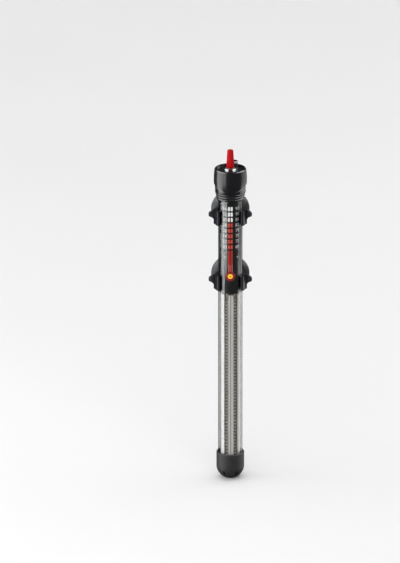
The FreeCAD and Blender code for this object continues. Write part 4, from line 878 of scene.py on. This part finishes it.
class HEATER_OT_scale(bpy.types.Operator):
    """Card, backing and print"""
    bl_idname = "heater.scale"
    bl_label = "Scale"

    def execute(self, context):
        sizes = context.scene.heater_scale
        dress(scale_card=card_ink(), white_backing=backing_plastic())
        ink = scale_print()
        first_row, under = (SLOT_TOP + ROW_RISE) * MM, SLOT_TOP * MM - sizes.mark_drop
        for name, angle, size, foot, column in (
                ("celsius_numbers", sizes.left_angle, sizes.digit_size, first_row, CELSIUS),
                ("fahrenheit_numbers", sizes.right_angle, sizes.digit_size, first_row, FAHRENHEIT),
                ("celsius_mark", sizes.left_angle, sizes.mark_size, under, ["°C"]),
                ("fahrenheit_mark", sizes.right_angle, sizes.mark_size, under, ["°F"])):
            shape = bmesh.new()
            for row, words in enumerate(column):
                printed_words(shape, words, size, angle, foot + row * ROW_PITCH * MM, sizes.print_lift)
            keep(name, shape, ink, "heater")
        return {"FINISHED"}


class HEATER_OT_indicator(bpy.types.Operator):
    """Red slider and its nut"""
    bl_idname = "heater.indicator"
    bl_label = "Indicator"

    def execute(self, context):
        dress(indicator_tongue=slider_plastic(), indicator_nut=slider_nylon())
        return {"FINISHED"}


class HEATER_OT_pilot(bpy.types.Operator):
    """Light guide, lens and lamp"""
    bl_idname = "heater.pilot"
    bl_label = "Pilot lamp"

    def execute(self, context):
        dress(pilot_lens=guide_plastic(), lamp_lens=lens_amber(), neon_lamp=lamp_glass())
        spots = [(side, centre("neon_lamp").y, LAMP_HEIGHT) for side in (-ELECTRODE_ASIDE, ELECTRODE_ASIDE)]
        keep_turned("lamp_electrodes", ELECTRODE_PROFILE, spots, lamp_nickel(), steps=16)
        return {"FINISHED"}


class HEATER_OT_thermostat(bpy.types.Operator):
    """Board, blade, contacts and magnet"""
    bl_idname = "heater.thermostat"
    bl_label = "Thermostat"

    def execute(self, context):
        dress(thermostat_board=laminate_board(),
              contact_leaf=rolled_metal("leaf_brass", (0.62, 0.42, 0.18), (0.46, 0.3, 0.13)),
              leaf_rivets=turned_metal("rivet_steel", *RIVET_STEEL), blade_block=fired_ceramic("block_ceramic"),
              bimetal_blade=two_metals(),
              fixed_contact=contact_silver("fixed_contact", centre("fixed_contact").z),
              moving_contact=contact_silver("moving_contact", centre("moving_contact").z),
              snap_magnet=magnet_ferrite(), lamp_resistor=banded_resistor(),
              suppression_capacitor=dipped_capacitor())
        foot, back = low("bimetal_blade").z, high("blade_block").y + RIVET_BACK
        keep_turned("blade_rivets", RIVET_PROFILE, [(0, back, foot + height) for height in RIVET_HEIGHTS],
                    turned_metal("blade_rivet_steel", *RIVET_STEEL), "switch_blade", lean=-math.pi / 2)
        return {"FINISHED"}


class HEATER_OT_wiring(bpy.types.Operator):
    """Tabs and leads"""
    bl_idname = "heater.wiring"
    bl_label = "Wiring"

    def execute(self, context):
        dress(terminal_tabs=rolled_metal("tab_brass", (0.7, 0.54, 0.26), (0.6, 0.58, 0.52)),
              live_lead=wire_sleeve("brown_sleeve", (0.13, 0.045, 0.018), (0.2, 0.09, 0.05)),
              neutral_lead=wire_sleeve("blue_sleeve", (0.015, 0.07, 0.3), (0.06, 0.14, 0.36)),
              left_element_lead=braided_sleeve("left_braid"), right_element_lead=braided_sleeve("right_braid"))
        tabs, leads = low("terminal_tabs"), low("left_element_lead").z
        # a cone of solder where a lead meets its tab, one each side on both pairs
        heights = low("live_lead").z + SOLDER_PAST, high("left_element_lead").z - SOLDER_PAST
        spots = [(-side * (tabs.x + SOLDER_IN), tabs.y, height) for side in (-1, 1) for height in heights]
        keep_turned("solder_joints", SOLDER_PROFILE, spots, solder_tin(), lean=math.pi / 2)
        keep_turned("tail_crimps", CRIMP_PROFILE, [(*spot, leads - CRIMP_DROP) for spot in TAIL_SPOTS],
                    turned_metal("crimp_steel", (0.6, 0.6, 0.61), (0.42, 0.42, 0.43)))
        return {"FINISHED"}


class HEATER_OT_element(bpy.types.Operator):
    """Ceramic bar, coil, rod, mica disc and cushion"""
    bl_idname = "heater.element"
    bl_label = "Element"

    def execute(self, context):
        dress(ceramic_core=fired_ceramic("bar_ceramic", grooved=True), heating_coil=resistance_wire(),
              baffle_disc=split_mica(), core_cushion=fibre_wool(),
              tie_rod=turned_metal("rod_steel", (0.5, 0.5, 0.52), (0.32, 0.32, 0.33), rust=0.3),
              rod_nut=turned_metal("nut_steel", (0.58, 0.58, 0.6), (0.38, 0.38, 0.4)))
        return {"FINISHED"}


class HEATER_OT_foot(bpy.types.Operator):
    """Foot cap"""
    bl_idname = "heater.foot"
    bl_label = "Foot"

    def execute(self, context):
        dress(foot_cap=foot_plastic())
        return {"FINISHED"}


class HEATER_OT_holders(bpy.types.Operator):
    """Clips and suction cups"""
    bl_idname = "heater.holders"
    bl_label = "Clips and cups"

    def execute(self, context):
        for clip, cup in (("upper_clip", "upper_suction_cup"), ("lower_clip", "lower_suction_cup")):
            dress(**{clip: clip_plastic(clip + "_plastic", centre(clip).z),
                     cup: cup_rubber(cup + "_rubber", centre(cup).z)})
        return {"FINISHED"}


# Stage

class HEATER_OT_stage(bpy.types.Operator):
    """Floor, backdrop, lamps and camera"""
    bl_idname = "heater.stage"
    bl_label = "Stage"

    def execute(self, context):
        sizes = context.scene.heater_stage
        stage_camera(context.scene, sizes)
        stage_floor(sizes)
        for *box, light, share, gloss_alone in SOFTBOXES:
            softbox(*box, getattr(sizes, light) * share).visible_diffuse = not gloss_alone
        soft_sun("front_light", FRONT_SUN, sizes.front)
        soft_sun("sky_light", SKY_SUN, sizes.sky)
        stage_world(context.scene, sizes)
        return {"FINISHED"}


def stage_camera(scene, sizes):
    """Camera that puts the knob's top and the foot's edge on their image rows."""
    data = bpy.data.cameras.new("camera")
    camera = add_object("camera", data)
    scene.camera = camera
    middle = Vector((0, 0, AIM_HEIGHT))
    back = Vector((0, -math.cos(sizes.elevation), math.sin(sizes.elevation)))
    spot = middle + back * sizes.distance
    right = Vector((1, 0, 0))
    up = back.cross(right)
    camera.matrix_world = Matrix.Translation(spot) @ Matrix((right, up, back)).transposed().to_4x4()
    top = spot_on_image(spot, right, up, back, Vector((0, 0, high("adjusting_knob").z * MM)))
    foot = spot_on_image(spot, right, up, back, Vector(FOOT_EDGE))
    # pixels for one unit of slope, from the height between the two rows
    focal = (sizes.foot_y - sizes.top_y) / (top[1] - foot[1])
    data.sensor_fit = "VERTICAL"
    data.lens_unit = "FOV"
    data.angle_y = 2 * math.atan(IMAGE_HEIGHT / 2 / focal)
    row = IMAGE_HEIGHT / 2 - top[1] * focal
    data.shift_y = (sizes.top_y - row) / IMAGE_HEIGHT
    data.shift_x = -(sizes.centre_x - IMAGE_WIDTH / 2) / IMAGE_HEIGHT


def spot_on_image(spot, right, up, back, point):
    """Slopes of a point's direction from the camera, across and up."""
    ray = point - spot
    depth = -ray.dot(back)
    return ray.dot(right) / depth, ray.dot(up) / depth


def stage_floor(sizes):
    """Plain pale floor. Mirrors look through it, so that the softboxes show down to the foot."""
    shape = bmesh.new()
    bmesh.ops.create_grid(shape, x_segments=1, y_segments=1, size=FLOOR_REACH)
    floor = add_object("floor", as_mesh("floor", shape))
    floor.visible_glossy = False
    floor.visible_shadow = False
    paint = Paint(bpy.data.materials.new("floor"))
    cloud = paint.noise(300.0, detail=3)
    colour = paint.tint(sizes.floor_pale, 0.985 + cloud * 0.03)
    floor.data.materials.append(paint.plain(colour, 0.7 + cloud * 0.1))


def softbox(name, azimuth, elevation, distance, width, height, middle, strength):
    """Rectangular lamp that faces the object's axis, as bright at any size. Its angles in degrees count from the
    front and from level."""
    azimuth, elevation = math.radians(azimuth), math.radians(elevation)
    level = math.cos(elevation)
    out = Vector((math.sin(azimuth) * level, -math.cos(azimuth) * level, math.sin(elevation)))
    across = Vector((0, 0, 1)).cross(out).normalized()
    data = bpy.data.lights.new(name, "AREA")
    data.shape = "RECTANGLE"
    data.size = width
    data.size_y = height
    data.energy = strength * math.pi * width * height
    lamp = add_object(name, data)
    turn = Matrix((across, out.cross(across), out)).transposed()
    lamp.matrix_world = Matrix.Translation(out * distance + Vector((0, 0, middle))) @ turn.to_4x4()
    return lamp


def soft_sun(name, elevation, strength):
    """Even light as soft as an overcast sky, from this many degrees over the front. It leaves no patch in gloss."""
    data = bpy.data.lights.new(name, "SUN")
    data.angle = math.radians(SUN_SOFTNESS)
    data.energy = strength * math.pi
    lamp = add_object(name, data)
    lamp.visible_glossy = False
    lamp.matrix_world = Matrix.Rotation(math.radians(90 - elevation), 4, "X")


def stage_world(scene, sizes):
    """White for the camera, a white wall behind the object in metal and glass, and a soft even light."""
    world = bpy.data.worlds.new("studio")
    paint = Paint(world)
    camera = paint.node("ShaderNodeLightPath", output="Is Camera Ray")
    mirrored = paint.maths("MAXIMUM", camera.output("Is Glossy Ray"), camera.output("Is Transmission Ray"))
    # a world's coordinates are its directions: the rise is 0 at the horizon and 1 straight up
    rise = paint.z * MM
    wall = paint.band(rise, *WALL_RISE) * paint.fade(paint.y * MM, *WALL_BACK)
    seen = wall + (1 - wall) * sizes.mirrored
    strength = paint.maths("MAXIMUM", camera, seen * mirrored + (1 - mirrored) * sizes.room)
    background = paint.node("ShaderNodeBackground", sockets={"Color": (1, 1, 1), "Strength": strength})
    paint.node("ShaderNodeOutputWorld", sockets={"Surface": background})
    scene.world = world
    scene.view_settings.view_transform = "Standard"


# Panel and registration

STEPS = ("tube", "head", "setting", "scale", "indicator", "pilot", "thermostat", "wiring", "element", "foot",
         "holders", "stage")


class HEATER_PT_panel(bpy.types.Panel):
    """Steps that dress the heater"""
    bl_idname = "HEATER_PT_panel"
    bl_label = "Heater"
    bl_space_type = "VIEW_3D"
    bl_region_type = "UI"
    bl_category = "Heater"

    def draw(self, context):
        for step in STEPS:
            self.layout.operator("heater." + step)


CLASSES = (FinishColours, ScaleSizes, StageSizes, HEATER_OT_tube, HEATER_OT_head, HEATER_OT_setting,
           HEATER_OT_scale, HEATER_OT_indicator, HEATER_OT_pilot, HEATER_OT_thermostat, HEATER_OT_wiring,
           HEATER_OT_element, HEATER_OT_foot, HEATER_OT_holders, HEATER_OT_stage, HEATER_PT_panel)


def register():
    for kind in CLASSES:
        bpy.utils.register_class(kind)
    bpy.types.Scene.heater_colours = PointerProperty(type=FinishColours)
    bpy.types.Scene.heater_scale = PointerProperty(type=ScaleSizes)
    bpy.types.Scene.heater_stage = PointerProperty(type=StageSizes)


def unregister():
    del bpy.types.Scene.heater_stage
    del bpy.types.Scene.heater_scale
    del bpy.types.Scene.heater_colours
    for kind in reversed(CLASSES):
        bpy.utils.unregister_class(kind)


def main():
    register()
    for step in STEPS:
        getattr(bpy.ops.heater, step)()


if __name__ == "__main__":
    main()
